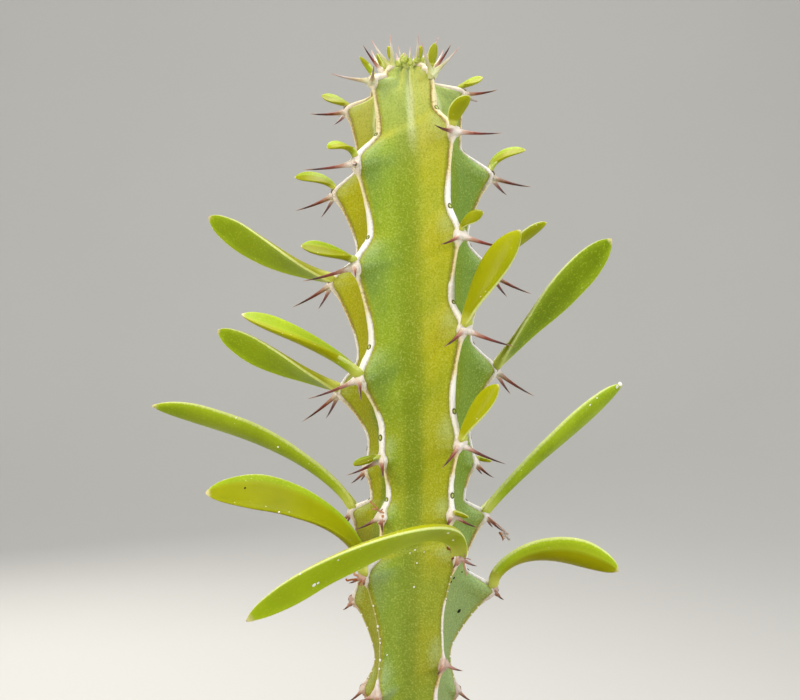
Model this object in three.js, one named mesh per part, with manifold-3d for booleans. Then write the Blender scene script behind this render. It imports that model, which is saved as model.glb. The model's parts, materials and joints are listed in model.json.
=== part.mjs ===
// Potted columnar euphorbia: a clay pot, its soil, a five-ribbed stem, the pale horny margin of each rib with
// its spine shields and spines, and the fleshy leaves. Millimetres, +Z up, the middle of the pot's foot at the
// origin. Bearings go round the stem in degrees: 0 is towards -Y, 90 is towards +X.
import * as THREE from "three";
import { mergeVertices } from "three/addons/utils/BufferGeometryUtils.js";
import Module from "manifold-3d";

const wasm = await Module();
wasm.setup();

// Pot and soil
const pot = {
  height: 88,
  footRadius: 35,
  bodyRadius: 48,
  rimRadius: 55,
  rimTuck: 1.2,
  rimDepth: 22,
  wall: 5,
  floor: 6,
  drainRadius: 6.5,
  sides: 40,
};
const soilTop = 76;
const soilMound = 1.2;
const restGap = 0.3; // between a piece and what carries it

// Stem
const apexHeight = 247.7;
const footHeight = 45;
const footRadius = 9.4;
const groove = 0.72; // reach of a groove as a share of the body's
const grooveCurve = 1.5;
const marginThickness = 0.65;
const marginGap = 0.25;
const spineRadius = 0.48;
const spineSpread = 50; // from the rib's bearing, if the rib has none of its own
// A spine's length and its slope above the level in degrees, by height.
const spineLength = [
  [84, 4], [121, 4], [139, 2.6], [147, 2.6], [157, 5], [166, 4.2], [171, 9.2], [226, 9.2], [239, 8.2], [247, 6.2],
];
const spineSlope = [
  [84, -14], [121, -18], [145, -28], [170, -24], [205, -16], [222, -10], [232, -1], [240, 6], [242.5, 13],
  [244.3, 46], [247, 54],
];
const valleyAt = 0.6; // how far down from one tooth to the next the rib is at its lowest

// The body's reach from the axis in the hollows between the teeth, as [height, reach].
const bodyReach = [
  [76, 9.6], [100, 9.3], [126, 8.7], [133, 8.9], [138, 10], [146, 11.3], [152, 11.2], [160, 10.6],
  [168, 11], [178, 11.8], [192, 12.2], [206, 12.1], [222, 11.6], [233, 10.7], [240, 9.1], [246, 7],
];

// How far the axis stands off the vertical, as [height, offset towards +X].
const lean = [[76, 0], [125, -0.3], [145, 0], [165, 0.7], [190, 0.4], [212, 0], [232, -0.5], [248.6, -1.1]];

// Teeth from the top down, as [height, reach, reach of the hollow below if it isn't the body's, how far down the
// hollow is deepest if it isn't valleyAt]. fill is what the hollows of one rib stand further out than the body's,
// and spineDip what its spines below the tip slope further down.
const ribs = [
  {
    name: "front_left",
    bearing: -42,
    fill: 1.2,
    spineDip: 0,
    spineSpread: 46,
    teeth: [
      [246.2, 5, 7.6], [242.2, 11.3, 10, 0.5], [225.5, 16.9], [205.7, 17.7], [184.2, 16.9], [168.5, 10.9, 8.9],
      [157.4, 10.7], [146.5, 15], [122.9, 10.8],
    ],
  },
  {
    name: "front_right",
    bearing: 35,
    fill: 0.8,
    spineDip: 0,
    spineSpread: 60,
    teeth: [
      [246.6, 4, 6.4], [244.3, 8.4, 9, 0.45], [231.8, 14.6], [211.7, 15.8], [193.8, 16.5], [171.8, 14.6, 12.2],
      [158, 12.6], [150.3, 15.2], [129.2, 11.2],
    ],
  },
  {
    name: "side_right",
    bearing: 105,
    fill: 0,
    spineDip: 8,
    teeth: [
      [246.2, 5.2], [241.7, 11.9], [225, 17.2], [205.1, 16.8], [185.5, 17.3], [167, 12.6], [156.2, 15.2],
      [140.9, 17.5], [121.2, 9.9],
    ],
  },
  {
    name: "rear",
    bearing: 178.5,
    fill: 0.6,
    spineDip: 0,
    teeth: [
      [246.2, 5, 7.4], [240, 12.5], [227.5, 16.3], [209, 17], [188.5, 17], [169.5, 12.2], [160, 13], [144.5, 16],
      [125, 10.6],
    ],
  },
  {
    name: "side_left",
    bearing: 252,
    fill: 0.4,
    spineDip: 12,
    teeth: [
      [246.2, 5.6, 8.4], [238.3, 13.7], [221.4, 16.9], [203.2, 18], [181, 16.8, 10.6], [165.6, 11, 9.9],
      [157, 13.9], [139.1, 12.9, 8.4], [121.2, 10.5],
    ],
  },
];
const oldTeeth = 4; // the leafless teeth of the old wood, spaced evenly down to the soil
const oldestTooth = 84;
const oldToothReach = 1.5;
const marginShare = [1, 1, 1, 1, 1, 0.9, 0.8, 0.6]; // of the margin's width, by the tooth above
const teethStations = [0, 0.1, 0.3, valleyAt, 0.75, 0.83, 0.9];
const oldStations = [0, 0.3, valleyAt, 0.85];
const faceStations = [0, 0.15, 0.38, 0.62, 0.85, 1];

// Leaves. tooth counts from the top of the rib. swing turns the leaf's root off the rib's bearing and turn is
// what it turns further along its length; rise is the root's angle above the level and droop what it loses.
// roll tips the blade about its own length. Angles are in degrees. Short leaves and those marked plump are broad
// near the root.
const leaves = [
  { rib: "front_left", tooth: 0, length: 2.6, width: 1.4, swing: 0, turn: 0, rise: 70, droop: 0, roll: 0 },
  { rib: "front_left", tooth: 1, length: 4, width: 2.1, swing: -16, turn: 0, rise: 54, droop: 10, roll: -24 },
  { rib: "front_left", tooth: 2, length: 6.2, width: 3.5, swing: -18, turn: -4, rise: 78, droop: 105, roll: -33 },
  { rib: "front_left", tooth: 3, length: 10.4, width: 4.6, swing: -24, turn: -6, rise: 20, droop: 12, roll: -50 },
  { rib: "front_left", tooth: 4, length: 24.6, width: 6.7, swing: -33, turn: -2, rise: 44, droop: 26, roll: -32 },
  { rib: "front_left", tooth: 5, length: 5.3, width: 2.5, swing: -26, turn: 0, rise: -16, droop: 0, roll: -26 },
  { rib: "front_left", tooth: 7, length: 36.5, width: 8.6, swing: -39, turn: -8, rise: 96, droop: 102, roll: -55 },
  { rib: "front_right", tooth: 0, length: 2.4, width: 1.3, swing: 0, turn: 0, rise: 78, droop: 0, roll: 0 },
  { rib: "front_right", tooth: 1, length: 4.2, width: 2, swing: -8, turn: 0, rise: 82, droop: 12, roll: 0 },
  { rib: "front_right", tooth: 2, length: 6.2, width: 3.9, swing: 12, turn: 6, rise: 96, droop: 66, roll: -14 },
  { rib: "front_right", tooth: 3, length: 5.5, width: 3.2, swing: 33, turn: 15, rise: 96, droop: 92, roll: 70 },
  {
    rib: "front_right", tooth: 4, length: 20.6, width: 7.1, swing: 33, turn: 19, rise: 86, droop: 40, roll: 72,
    plump: true,
  },
  {
    rib: "front_right", tooth: 5, length: 12.9, width: 5.1, swing: 29, turn: 8, rise: 84, droop: 43, roll: 70,
    plump: true,
  },
  { rib: "front_right", tooth: 6, length: 2.9, width: 2, swing: 25, turn: 0, rise: -14, droop: 0, roll: -24 },
  { rib: "front_right", tooth: 7, length: 56, width: 7.5, swing: -47, turn: -86, rise: 57, droop: 96, roll: 58 },
  { rib: "side_right", tooth: 1, length: 5, width: 2.9, swing: -9, turn: 0, rise: 10, droop: -20, roll: 43 },
  { rib: "side_right", tooth: 2, length: 8.9, width: 3.3, swing: -3, turn: -4, rise: 88, droop: 86, roll: 44 },
  { rib: "side_right", tooth: 3, length: 15.2, width: 4.3, swing: 4, turn: -6, rise: 54, droop: 22, roll: -41 },
  { rib: "side_right", tooth: 4, length: 34.6, width: 8.5, swing: -14, turn: -3, rise: 55, droop: 11, roll: -63 },
  { rib: "side_right", tooth: 5, length: 2.8, width: 1.8, swing: -7, turn: 0, rise: -14, droop: 0, roll: 0 },
  { rib: "side_right", tooth: 6, length: 40, width: 7, swing: -7, turn: 20, rise: 50, droop: 16, roll: -57 },
  { rib: "side_right", tooth: 7, length: 28.6, width: 7.7, swing: -21, turn: 1, rise: 89, droop: 121, roll: -62 },
  { rib: "side_left", tooth: 0, length: 2.6, width: 1.4, swing: 0, turn: 0, rise: 66, droop: 0, roll: 0 },
  { rib: "side_left", tooth: 1, length: 5.8, width: 2.9, swing: 7, turn: 0, rise: 14, droop: -12, roll: -50 },
  { rib: "side_left", tooth: 2, length: 8.9, width: 3.3, swing: 5, turn: 2, rise: 59, droop: 63, roll: -55 },
  { rib: "side_left", tooth: 3, length: 29, width: 7.9, swing: 5, turn: 8, rise: 13, droop: -20, roll: 58 },
  { rib: "side_left", tooth: 4, length: 27.6, width: 7.4, swing: 9, turn: 2, rise: 20, droop: -7, roll: 61 },
  { rib: "side_left", tooth: 6, length: 46.4, width: 7.4, swing: 12, turn: 12, rise: 61, droop: 51, roll: 42 },
  { rib: "rear", tooth: 0, length: 2.6, width: 1.4, swing: 0, turn: 0, rise: 70, droop: 0, roll: 0 },
  { rib: "rear", tooth: 1, length: 6, width: 2.6, swing: 0, turn: 0, rise: 52, droop: 34, roll: -20 },
  { rib: "rear", tooth: 2, length: 9.2, width: 3.2, swing: -4, turn: 0, rise: 66, droop: 58, roll: 22 },
  { rib: "rear", tooth: 3, length: 19, width: 5.6, swing: 5, turn: 6, rise: 52, droop: 24, roll: -24 },
  { rib: "rear", tooth: 4, length: 29, width: 7.4, swing: -6, turn: -5, rise: 56, droop: 34, roll: 30 },
  { rib: "rear", tooth: 5, length: 4.8, width: 2.4, swing: 0, turn: 0, rise: 22, droop: 16, roll: 0 },
  { rib: "rear", tooth: 6, length: 32, width: 7.2, swing: 6, turn: 8, rise: 68, droop: 64, roll: -30 },
  { rib: "rear", tooth: 7, length: 34, width: 7.6, swing: -8, turn: -10, rise: 84, droop: 92, roll: 34 },
];

// A blade's half width as a share of its widest, and its depth as a share of the root's, at points along it.
const bladeWidth = [
  [0, 0.4], [0.1, 0.5], [0.25, 0.7], [0.45, 0.93], [0.6, 1], [0.74, 0.95], [0.85, 0.76], [0.94, 0.46], [1, 0.06],
];
const plumpWidth = [
  [0, 0.43], [0.07, 0.6], [0.18, 0.79], [0.34, 0.96], [0.5, 1], [0.68, 0.92], [0.82, 0.72], [0.93, 0.4], [1, 0.06],
];
const bladeDepth = [[0, 1], [0.5, 0.95], [0.8, 0.7], [1, 0.3]];
const bend = 0.45; // below 1 a blade bends most near its root
const leafShare = 0.5; // how far up the shoulder a leaf sits

const paint = {
  clay: new THREE.MeshStandardMaterial({ color: 0xb4694a, roughness: 0.85, metalness: 0 }),
  soil: new THREE.MeshStandardMaterial({ color: 0x4a3a2c, roughness: 0.95, metalness: 0 }),
  stem: new THREE.MeshStandardMaterial({ color: 0x86a63a, roughness: 0.5, metalness: 0 }),
  margin: new THREE.MeshStandardMaterial({ color: 0xd9cfbb, roughness: 0.7, metalness: 0 }),
  leaf: new THREE.MeshStandardMaterial({ color: 0xa3c22c, roughness: 0.4, metalness: 0 }),
};

const radians = THREE.MathUtils.degToRad;
const up = new THREE.Vector3(0, 0, 1);

// A smooth curve through [position, value] points, held level past its ends.
function along(points, position) {
  const last = points.length - 1;
  if (position <= points[0][0]) return points[0][1];
  if (position >= points[last][0]) return points[last][1];
  const i = points.findIndex((point) => point[0] > position) - 1;
  const at = (j) => points[THREE.MathUtils.clamp(j, 0, last)];
  const slope = (j) => (at(j + 1)[1] - at(j - 1)[1]) / (at(j + 1)[0] - at(j - 1)[0]);
  const span = at(i + 1)[0] - at(i)[0];
  const t = (position - at(i)[0]) / span;
  const start = at(i)[1] + (slope(i) * span * t) * (1 - t) ** 2;
  const change = (at(i + 1)[1] - at(i)[1]) * t * t * (3 - 2 * t);
  return start + change - slope(i + 1) * span * t * t * (1 - t);
}

function axisAt(height) {
  return new THREE.Vector3(along(lean, height), 0, height);
}

function outward(bearing) {
  return new THREE.Vector3(Math.sin(radians(bearing)), -Math.cos(radians(bearing)), 0);
}

// A closed body through rings of points, all of one length, with a fan at each end.
function loft(rings) {
  const count = rings[0].length;
  const middle = (ring) => ring.reduce((sum, p) => sum.add(p), new THREE.Vector3()).divideScalar(count);
  const points = [...rings.flat(), middle(rings[0]), middle(rings[rings.length - 1])];
  const index = [];
  const firstMiddle = rings.length * count;
  for (let j = 0; j < count; j++) {
    const next = (j + 1) % count;
    for (let i = 0; i < rings.length - 1; i++) {
      const [a, b] = [i * count + j, i * count + next];
      index.push(a, b, b + count, a, b + count, a + count);
    }
    const end = (rings.length - 1) * count;
    index.push(firstMiddle, next, j, firstMiddle + 1, end + j, end + next);
  }
  const geometry = new THREE.BufferGeometry().setFromPoints(points);
  geometry.setIndex(index);
  return faceOut(geometry);
}

// Turns a closed geometry's faces outwards if they point in.
function faceOut(geometry) {
  if (solidOf(geometry).volume() > 0) return geometry;
  const index = geometry.index.array;
  for (let i = 0; i < index.length; i += 3) [index[i + 1], index[i + 2]] = [index[i + 2], index[i + 1]];
  return geometry;
}

function solidOf(geometry) {
  const plain = geometry.clone();
  plain.deleteAttribute("normal");
  plain.deleteAttribute("uv");
  const merged = mergeVertices(plain, 1e-4);
  return new wasm.Manifold(
    new wasm.Mesh({
      numProp: 3,
      vertProperties: new Float32Array(merged.attributes.position.array),
      triVerts: new Uint32Array(merged.index.array),
    }),
  );
}

function geometryOf(solid) {
  const mesh = solid.getMesh();
  const positions = new THREE.BufferAttribute(new Float32Array(mesh.vertProperties), 3);
  const geometry = new THREE.BufferGeometry().setAttribute("position", positions);
  geometry.setIndex(new THREE.BufferAttribute(new Uint32Array(mesh.triVerts), 1));
  return geometry;
}

function fuse(geometries) {
  return geometryOf(geometries.map(solidOf).reduce((whole, solid) => whole.add(solid)));
}

// A rib's teeth with the old wood's added below the drawn ones.
function allTeeth(rib) {
  const teeth = rib.teeth.map(([height, reach, hollow, valley]) => ({ height, reach, hollow, valley, old: false }));
  const lowest = teeth[teeth.length - 1].height;
  for (let i = 1; i <= oldTeeth; i++) {
    const height = lowest + ((oldestTooth - lowest) * i) / oldTeeth;
    teeth.push({ height, reach: along(bodyReach, height) + oldToothReach, old: true });
  }
  return teeth;
}

// How much a rib stands out, 0 in the hollow and 1 on the tooth, part of the way down from one tooth to the next.
function toothShare(part) {
  if (part <= valleyAt) return (1 - part / valleyAt) ** 1.5;
  return THREE.MathUtils.smoothstep((part - valleyAt) / (1 - valleyAt), 0.13, 0.98);
}

// A part moved so that the hollow comes at another share of the way down.
function shifted(part, valley) {
  if (part <= valleyAt) return (part * valley) / valleyAt;
  return THREE.MathUtils.lerp(valley, 1, (part - valleyAt) / (1 - valleyAt));
}

// The green edge of a rib from the growing tip down to the foot: height, reach, the margin's half width and
// whether the margin covers it.
function ribEdge(rib) {
  const teeth = allTeeth(rib);
  const seatDrop = marginThickness + marginGap;
  const edge = [];
  const top = teeth[0];
  for (const turn of [1, 0.72, 0.4]) {
    const height = top.height + (apexHeight - top.height) * Math.sin((turn * Math.PI) / 2);
    edge.push({ height, reach: Math.max(0.5, (top.reach - seatDrop) * Math.cos((turn * Math.PI) / 2)) });
  }
  teeth.forEach((tooth, i) => {
    const next = teeth[i + 1];
    if (!next) {
      edge.push({ height: tooth.height, reach: tooth.reach - seatDrop, half: 0.8 });
      return;
    }
    const drop = tooth.height - next.height;
    const body = along(bodyReach, tooth.height - drop * valleyAt) + (next.old ? 0 : rib.fill);
    const hollow = tooth.hollow ?? Math.min(body, tooth.reach - 0.3, next.reach);
    for (const part of next.old ? oldStations : teethStations) {
      const peak = part <= valleyAt ? tooth.reach : next.reach;
      const reach = hollow + (peak - hollow) * toothShare(part) - seatDrop;
      const height = tooth.height - drop * shifted(part, tooth.valley ?? valleyAt);
      edge.push({ height, reach, half: marginHalf(part, i) });
    }
  });
  const share = (height) => THREE.MathUtils.smoothstep(height, soilTop - 4, oldestTooth);
  for (const height of [soilTop + 2, soilTop - 6, footHeight + restGap]) {
    const wood = along(bodyReach, height) - seatDrop;
    edge.push({ height, reach: THREE.MathUtils.lerp(footRadius, wood, share(height)) });
  }
  return edge;
}

// Half the margin's width: widest at a spine shield, narrow below it, and broad again above the next.
function marginHalf(part, toothIndex) {
  const share = marginShare[Math.min(toothIndex, marginShare.length - 1)];
  if (part === 0) return 0.6 + 0.7 * share;
  const broad = THREE.MathUtils.smoothstep(part, 0.15, 0.75);
  return share * THREE.MathUtils.lerp(0.5, 0.85, broad) + (part > 0.85 ? 0.25 : 0);
}

function edgePoint(rib, station) {
  return axisAt(station.height).addScaledVector(outward(rib.bearing), station.reach);
}

// The direction that the rib's edge faces at one station, square to the edge.
function edgeNormal(rib, edge, i) {
  const before = edge[Math.max(0, i - 1)];
  const after = edge[Math.min(edge.length - 1, i + 1)];
  const rise = before.height - after.height;
  const run = before.reach - after.reach;
  return outward(rib.bearing).multiplyScalar(rise).addScaledVector(up, -run).normalize();
}

function stemGeometry() {
  const edges = ribs.map(ribEdge);
  const rings = edges[0].map((_, i) => {
    const ring = [];
    ribs.forEach((rib, k) => {
      const nextRib = ribs[(k + 1) % ribs.length];
      const [here, there] = [edges[k][i], edges[(k + 1) % ribs.length][i]];
      const side = (one, station, sign) => {
        const across = outward(one.bearing + 90).multiplyScalar(sign * Math.min(station.half ?? 0.5, 1));
        return edgePoint(one, station).add(across.multiplyScalar(Math.min(1, station.reach / 6)));
      };
      const from = side(rib, here, 1);
      const to = side(nextRib, there, -1);
      const middle = from.clone().lerp(to, 0.5);
      const height = middle.z;
      const gap = THREE.MathUtils.euclideanModulo(nextRib.bearing - rib.bearing, 360);
      const foot = THREE.MathUtils.smoothstep(height, soilTop - 2, oldestTooth);
      const share = THREE.MathUtils.lerp(0.96, groove, foot);
      const reach = Math.min(
        share * Math.min(along(bodyReach, height), height < soilTop ? footRadius : 99),
        (share * (here.reach + there.reach)) / 2,
      );
      const bottom = axisAt(height).addScaledVector(outward(rib.bearing + gap / 2), reach);
      const hollow = bottom.sub(middle);
      for (const t of faceStations) {
        const depth = 1 - Math.abs(2 * t - 1) ** grooveCurve;
        ring.push(from.clone().lerp(to, t).addScaledVector(hollow, depth));
      }
    });
    return ring;
  });
  return loft(rings);
}

// One tapering four-sided spine, its root sunk into the shield.
function spineGeometry(root, direction, length) {
  const side = new THREE.Vector3().crossVectors(direction, up).normalize();
  const other = new THREE.Vector3().crossVectors(side, direction);
  const points = [45, 135, 225, 315].map((turn) => {
    const corner = root.clone().addScaledVector(direction, -0.15);
    corner.addScaledVector(side, Math.cos(radians(turn)) * spineRadius);
    return corner.addScaledVector(other, Math.sin(radians(turn)) * spineRadius);
  });
  points.push(root.clone().addScaledVector(direction, length));
  const geometry = new THREE.BufferGeometry().setFromPoints(points);
  geometry.setIndex([0, 1, 4, 1, 2, 4, 2, 3, 4, 3, 0, 4, 0, 3, 2, 0, 2, 1]);
  return faceOut(geometry);
}

// Length, spread from the rib's bearing and slope of the two spines of a tooth.
function spinesOf(rib, tooth, index) {
  const length = along(spineLength, tooth.height);
  const dip = tooth.height < 243 ? rib.spineDip : 0;
  const slope = along(spineSlope, tooth.height) - dip;
  const spread = index === 0 ? 34 : rib.spineSpread ?? spineSpread;
  return [-spread, spread].map((side) => ({ length, slope, spread: side }));
}

function marginGeometry(rib) {
  const edge = ribEdge(rib);
  const stations = edge.map((station, i) => ({ ...station, normal: edgeNormal(rib, edge, i) }));
  const covered = stations.filter((station) => station.half);
  const rings = covered.map((station) => {
    const across = outward(rib.bearing + 90);
    const corner = (sideways, out) =>
      edgePoint(rib, station)
        .addScaledVector(across, sideways * station.half)
        .addScaledVector(station.normal, out);
    const outer = marginGap + marginThickness * (station.half > 1 ? 1.35 : 1);
    return [corner(-1, marginGap), corner(1, marginGap), corner(0.55, outer), corner(-0.55, outer)];
  });
  const pieces = [loft(rings)];
  allTeeth(rib).forEach((tooth, index) => {
    for (const spine of spinesOf(rib, tooth, index)) {
      const level = outward(rib.bearing + spine.spread);
      const direction = level.multiplyScalar(Math.cos(radians(spine.slope)));
      direction.addScaledVector(up, Math.sin(radians(spine.slope)));
      const root = axisAt(tooth.height).addScaledVector(outward(rib.bearing), tooth.reach - 0.12);
      root.addScaledVector(outward(rib.bearing + 90), Math.sign(spine.spread) * 0.45);
      pieces.push(spineGeometry(root, direction, spine.length));
    }
  });
  return fuse(pieces);
}

// Where a leaf grows: on the shoulder just above its tooth's spine shield.
function leafSeat(rib, toothIndex) {
  const edge = ribEdge(rib);
  const i = edge.findIndex((station) => Math.abs(station.height - rib.teeth[toothIndex][0]) < 1e-6);
  const [above, below] = [edge[i - 1], edge[i]];
  const share = toothIndex === 0 ? leafShare / 3 : leafShare;
  const station = {
    height: THREE.MathUtils.lerp(below.height, above.height, share),
    reach: THREE.MathUtils.lerp(below.reach, above.reach, share),
  };
  return { point: edgePoint(rib, station), normal: edgeNormal(rib, [above, station, below], 1) };
}

function leafGeometry(leaf) {
  const rib = ribs.find((one) => one.name === leaf.rib);
  const seat = leafSeat(rib, leaf.tooth);
  const large = leaf.length > 12;
  const widths = large && !leaf.plump ? bladeWidth : plumpWidth;
  const steps = large ? 9 : 6;
  const deepest = THREE.MathUtils.clamp(leaf.width * 0.32, 1, 2.1);
  const section = large
    ? [[-1, 0], [-0.5, 0.06], [0.5, 0.06], [1, 0], [0.62, -0.66], [0, -0.94], [-0.62, -0.66]]
    : [[-1, 0], [0, 0.06], [1, 0], [0.55, -0.8], [-0.55, -0.8]];
  const heading = (part) => {
    const slope = radians(leaf.rise - leaf.droop * part ** bend);
    const level = outward(rib.bearing + leaf.swing + leaf.turn * part);
    return level.multiplyScalar(Math.cos(slope)).addScaledVector(up, Math.sin(slope));
  };
  const clear = marginGap + marginThickness * 1.35 + restGap;
  const point = seat.point.clone().addScaledVector(seat.normal, clear);
  const rings = [];
  const fine = 4;
  for (let i = 0; i <= steps * fine; i++) {
    const part = i / (steps * fine);
    const direction = heading(part);
    if (i % fine === 0) {
      const level = outward(rib.bearing + leaf.swing + leaf.turn * part + 90);
      const face = new THREE.Vector3().crossVectors(level, direction).normalize();
      level.applyAxisAngle(direction, radians(leaf.roll * part ** 0.5));
      face.applyAxisAngle(direction, radians(leaf.roll * part ** 0.5));
      const half = Math.max(0.2, (along(widths, part) * leaf.width) / 2);
      const deep = Math.max(0.6, deepest * along(bladeDepth, part));
      const place = ([across, out]) =>
        point
          .clone()
          .addScaledVector(level, across * half)
          .addScaledVector(face, -(out + 0.45) * deep);
      rings.push(section.map(place));
    }
    point.addScaledVector(direction, leaf.length / (steps * fine));
  }
  // The root is cut off flush with the margin.
  const root = heading(0);
  const lean = Math.max(root.dot(seat.normal), 0.35);
  for (const corner of rings[0]) {
    const away = corner.clone().sub(seat.point).dot(seat.normal);
    corner.addScaledVector(root, (clear - away) / lean);
  }
  return loft(rings);
}

function potGeometry() {
  const inner = pot.height - pot.rimDepth;
  const profile = [
    [pot.drainRadius, 0],
    [pot.footRadius - 0.8, 0],
    [pot.footRadius, 0.8],
    [pot.bodyRadius, inner],
    [pot.rimRadius - pot.rimTuck, inner],
    [pot.rimRadius, pot.height - 2],
    [pot.rimRadius - 1.4, pot.height],
    [pot.rimRadius - pot.wall - 0.6, pot.height],
    [pot.rimRadius - pot.wall - 2, pot.height - 2],
    [potInside(inner), inner],
    [potInside(pot.floor), pot.floor],
    [pot.drainRadius, pot.floor],
    [pot.drainRadius, 0],
  ];
  return turned(profile, pot.sides);
}

// The pot's inner radius at a height.
function potInside(height) {
  const foot = pot.footRadius - pot.wall;
  const share = (height - pot.floor) / (pot.height - 2 - pot.floor);
  return THREE.MathUtils.lerp(foot, pot.rimRadius - pot.wall - 2, share);
}

function turned(profile, sides) {
  const geometry = new THREE.LatheGeometry(
    profile.map(([radius, height]) => new THREE.Vector2(radius, height)),
    sides,
  );
  geometry.rotateX(Math.PI / 2);
  geometry.deleteAttribute("normal");
  geometry.deleteAttribute("uv");
  return faceOut(mergeVertices(geometry, 1e-4));
}

function soilGeometry() {
  const hole = footRadius + restGap + 0.1;
  const edge = soilTop - soilMound;
  const profile = [
    [0, pot.floor + restGap],
    [potInside(pot.floor) - restGap, pot.floor + restGap],
    [potInside(edge) - restGap, edge],
    [potInside(edge) * 0.72, edge + soilMound * 0.7],
    [hole, soilTop],
    [hole, footHeight],
    [0, footHeight],
  ];
  return turned(profile, pot.sides);
}

const plant = new THREE.Group();
function add(name, geometry, material) {
  const mesh = new THREE.Mesh(geometry, material);
  mesh.name = name;
  plant.add(mesh);
}
add("pot", potGeometry(), paint.clay);
add("soil", soilGeometry(), paint.soil);
add("stem", stemGeometry(), paint.stem);
ribs.forEach((rib) => add(`margin_${rib.name}`, marginGeometry(rib), paint.margin));
leaves.forEach((leaf) => add(`leaf_${leaf.rib}_${leaf.tooth + 1}`, leafGeometry(leaf), paint.leaf));

export default plant;
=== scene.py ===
import bisect
import json
import math
import random

import bmesh
import bpy
from mathutils import Matrix, Vector, noise

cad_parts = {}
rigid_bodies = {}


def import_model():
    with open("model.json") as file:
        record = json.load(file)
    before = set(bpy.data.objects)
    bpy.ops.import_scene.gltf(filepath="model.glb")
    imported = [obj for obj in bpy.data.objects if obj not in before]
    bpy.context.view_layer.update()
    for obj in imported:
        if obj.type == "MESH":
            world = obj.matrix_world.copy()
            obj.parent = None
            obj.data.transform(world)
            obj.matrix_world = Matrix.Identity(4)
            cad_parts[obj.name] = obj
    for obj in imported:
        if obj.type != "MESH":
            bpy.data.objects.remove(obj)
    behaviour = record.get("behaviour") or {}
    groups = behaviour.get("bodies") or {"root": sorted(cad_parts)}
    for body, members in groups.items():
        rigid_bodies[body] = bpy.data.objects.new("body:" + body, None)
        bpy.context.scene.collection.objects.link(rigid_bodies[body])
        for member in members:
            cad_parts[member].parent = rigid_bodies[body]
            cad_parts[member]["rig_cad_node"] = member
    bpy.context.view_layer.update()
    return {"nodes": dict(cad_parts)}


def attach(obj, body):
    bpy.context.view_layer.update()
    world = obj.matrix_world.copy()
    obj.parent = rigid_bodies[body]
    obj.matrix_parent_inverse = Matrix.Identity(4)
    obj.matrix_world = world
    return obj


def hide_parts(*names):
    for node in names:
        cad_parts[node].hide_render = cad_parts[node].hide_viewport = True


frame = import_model()
print("frame loaded,", len(frame["nodes"]), "nodes")

mm = 0.001
upward = Vector((0, 0, 1))


# camera and light
camera = {
    "place": (-0.0026, -0.26, 0.19),  # metres, level and looking along +Y
    "lens": 58.5,
    "sensor": 36.0,
    "picture": (800, 700),
}
bpy.ops.object.camera_add(location=camera["place"], rotation=(math.pi / 2, 0, 0))
eye = bpy.context.object
eye.data.lens = camera["lens"]
eye.data.sensor_width = camera["sensor"]
eye.data.clip_start = 0.005
eye.data.dof.use_dof = False
bpy.context.scene.camera = eye
bpy.context.scene.view_settings.view_transform = "Standard"

studio = {
    "lamps": [  # name, place, size, watts, colour; each looks at the middle of the plant
        ("keyLamp", (-0.50, -0.62, 0.62), 0.40, 6.2, (1.0, 0.95, 0.84)),
        ("coolLamp", (0.62, -0.40, 0.42), 0.45, 3.9, (0.88, 0.94, 1.0)),
        ("topLamp", (0.05, 0.12, 0.85), 0.35, 4.8, (1.0, 0.98, 0.94)),
        ("backLamp", (-0.35, 0.65, 0.45), 0.40, 2.8, (1.0, 0.97, 0.90)),
        ("wallLamp", (0.0, 0.45, 1.0), 0.60, 7.0, (1.0, 0.99, 0.97)),
    ],
    "aims": {"wallLamp": (0, 1.35, 0.25)},
    "aim": (0, 0, 0.17),
    "sky": (0.93, 0.95, 1.0),
    "skyStrength": 0.30,
}
for lampName, place, size, watts, colour in studio["lamps"]:
    toAim = Vector(studio["aims"].get(lampName, studio["aim"])) - Vector(place)
    turn = toAim.to_track_quat("-Z", "Y").to_euler()
    bpy.ops.object.light_add(type="AREA", location=place, rotation=turn)
    lamp = bpy.context.object
    lamp.name = lampName
    lamp.data.size = size
    lamp.data.energy = watts
    lamp.data.color = colour
    lamp.visible_camera = False
sky = bpy.data.worlds.new("sky")
sky.use_nodes = True
skyNode = next(node for node in sky.node_tree.nodes if node.type == "BACKGROUND")
skyNode.inputs["Color"].default_value = (*studio["sky"], 1)
skyNode.inputs["Strength"].default_value = studio["skyStrength"]
bpy.context.scene.world = sky
print("camera and lamps ready")


# tools
def selectNothing():
    bpy.ops.object.select_all(action="DESELECT")


def only(piece):
    selectNothing()
    piece.select_set(True)
    bpy.context.view_layer.objects.active = piece


def newPiece(name):
    piece = bpy.context.object
    piece.name = name
    piece.data.name = name
    only(piece)
    return piece


def selectAll():
    bpy.ops.mesh.select_all(action="SELECT")


def edit(piece):
    # into edit mode with everything selected
    only(piece)
    bpy.ops.object.mode_set(mode="EDIT")
    bpy.ops.mesh.select_mode(type="VERT")
    selectAll()


def done():
    bpy.ops.object.mode_set(mode="OBJECT")


def scaleBy(size, middle=(0, 0, 0)):
    bpy.ops.transform.resize(value=size, center_override=middle)


def drawOut(move):
    bpy.ops.mesh.extrude_edges_move(TRANSFORM_OT_translate={"value": move})


def closeTip():
    # in edit mode: the ring drawn out last becomes one point
    bpy.ops.mesh.merge(type="CENTER")
    selectAll()
    bpy.ops.mesh.normals_make_consistent(inside=False)


def choose(test):
    # in edit mode: selects the vertices whose place passes the test
    shape = bmesh.from_edit_mesh(bpy.context.object.data)
    for vertex in shape.verts:
        vertex.select_set(bool(test(vertex.co)))
    shape.select_flush(True)
    bmesh.update_edit_mesh(bpy.context.object.data)


def tidyMesh(piece, near=0.000004):
    edit(piece)
    bpy.ops.mesh.remove_doubles(threshold=near)
    bpy.ops.mesh.normals_make_consistent(inside=False)
    done()
    bpy.ops.object.shade_smooth()


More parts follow.
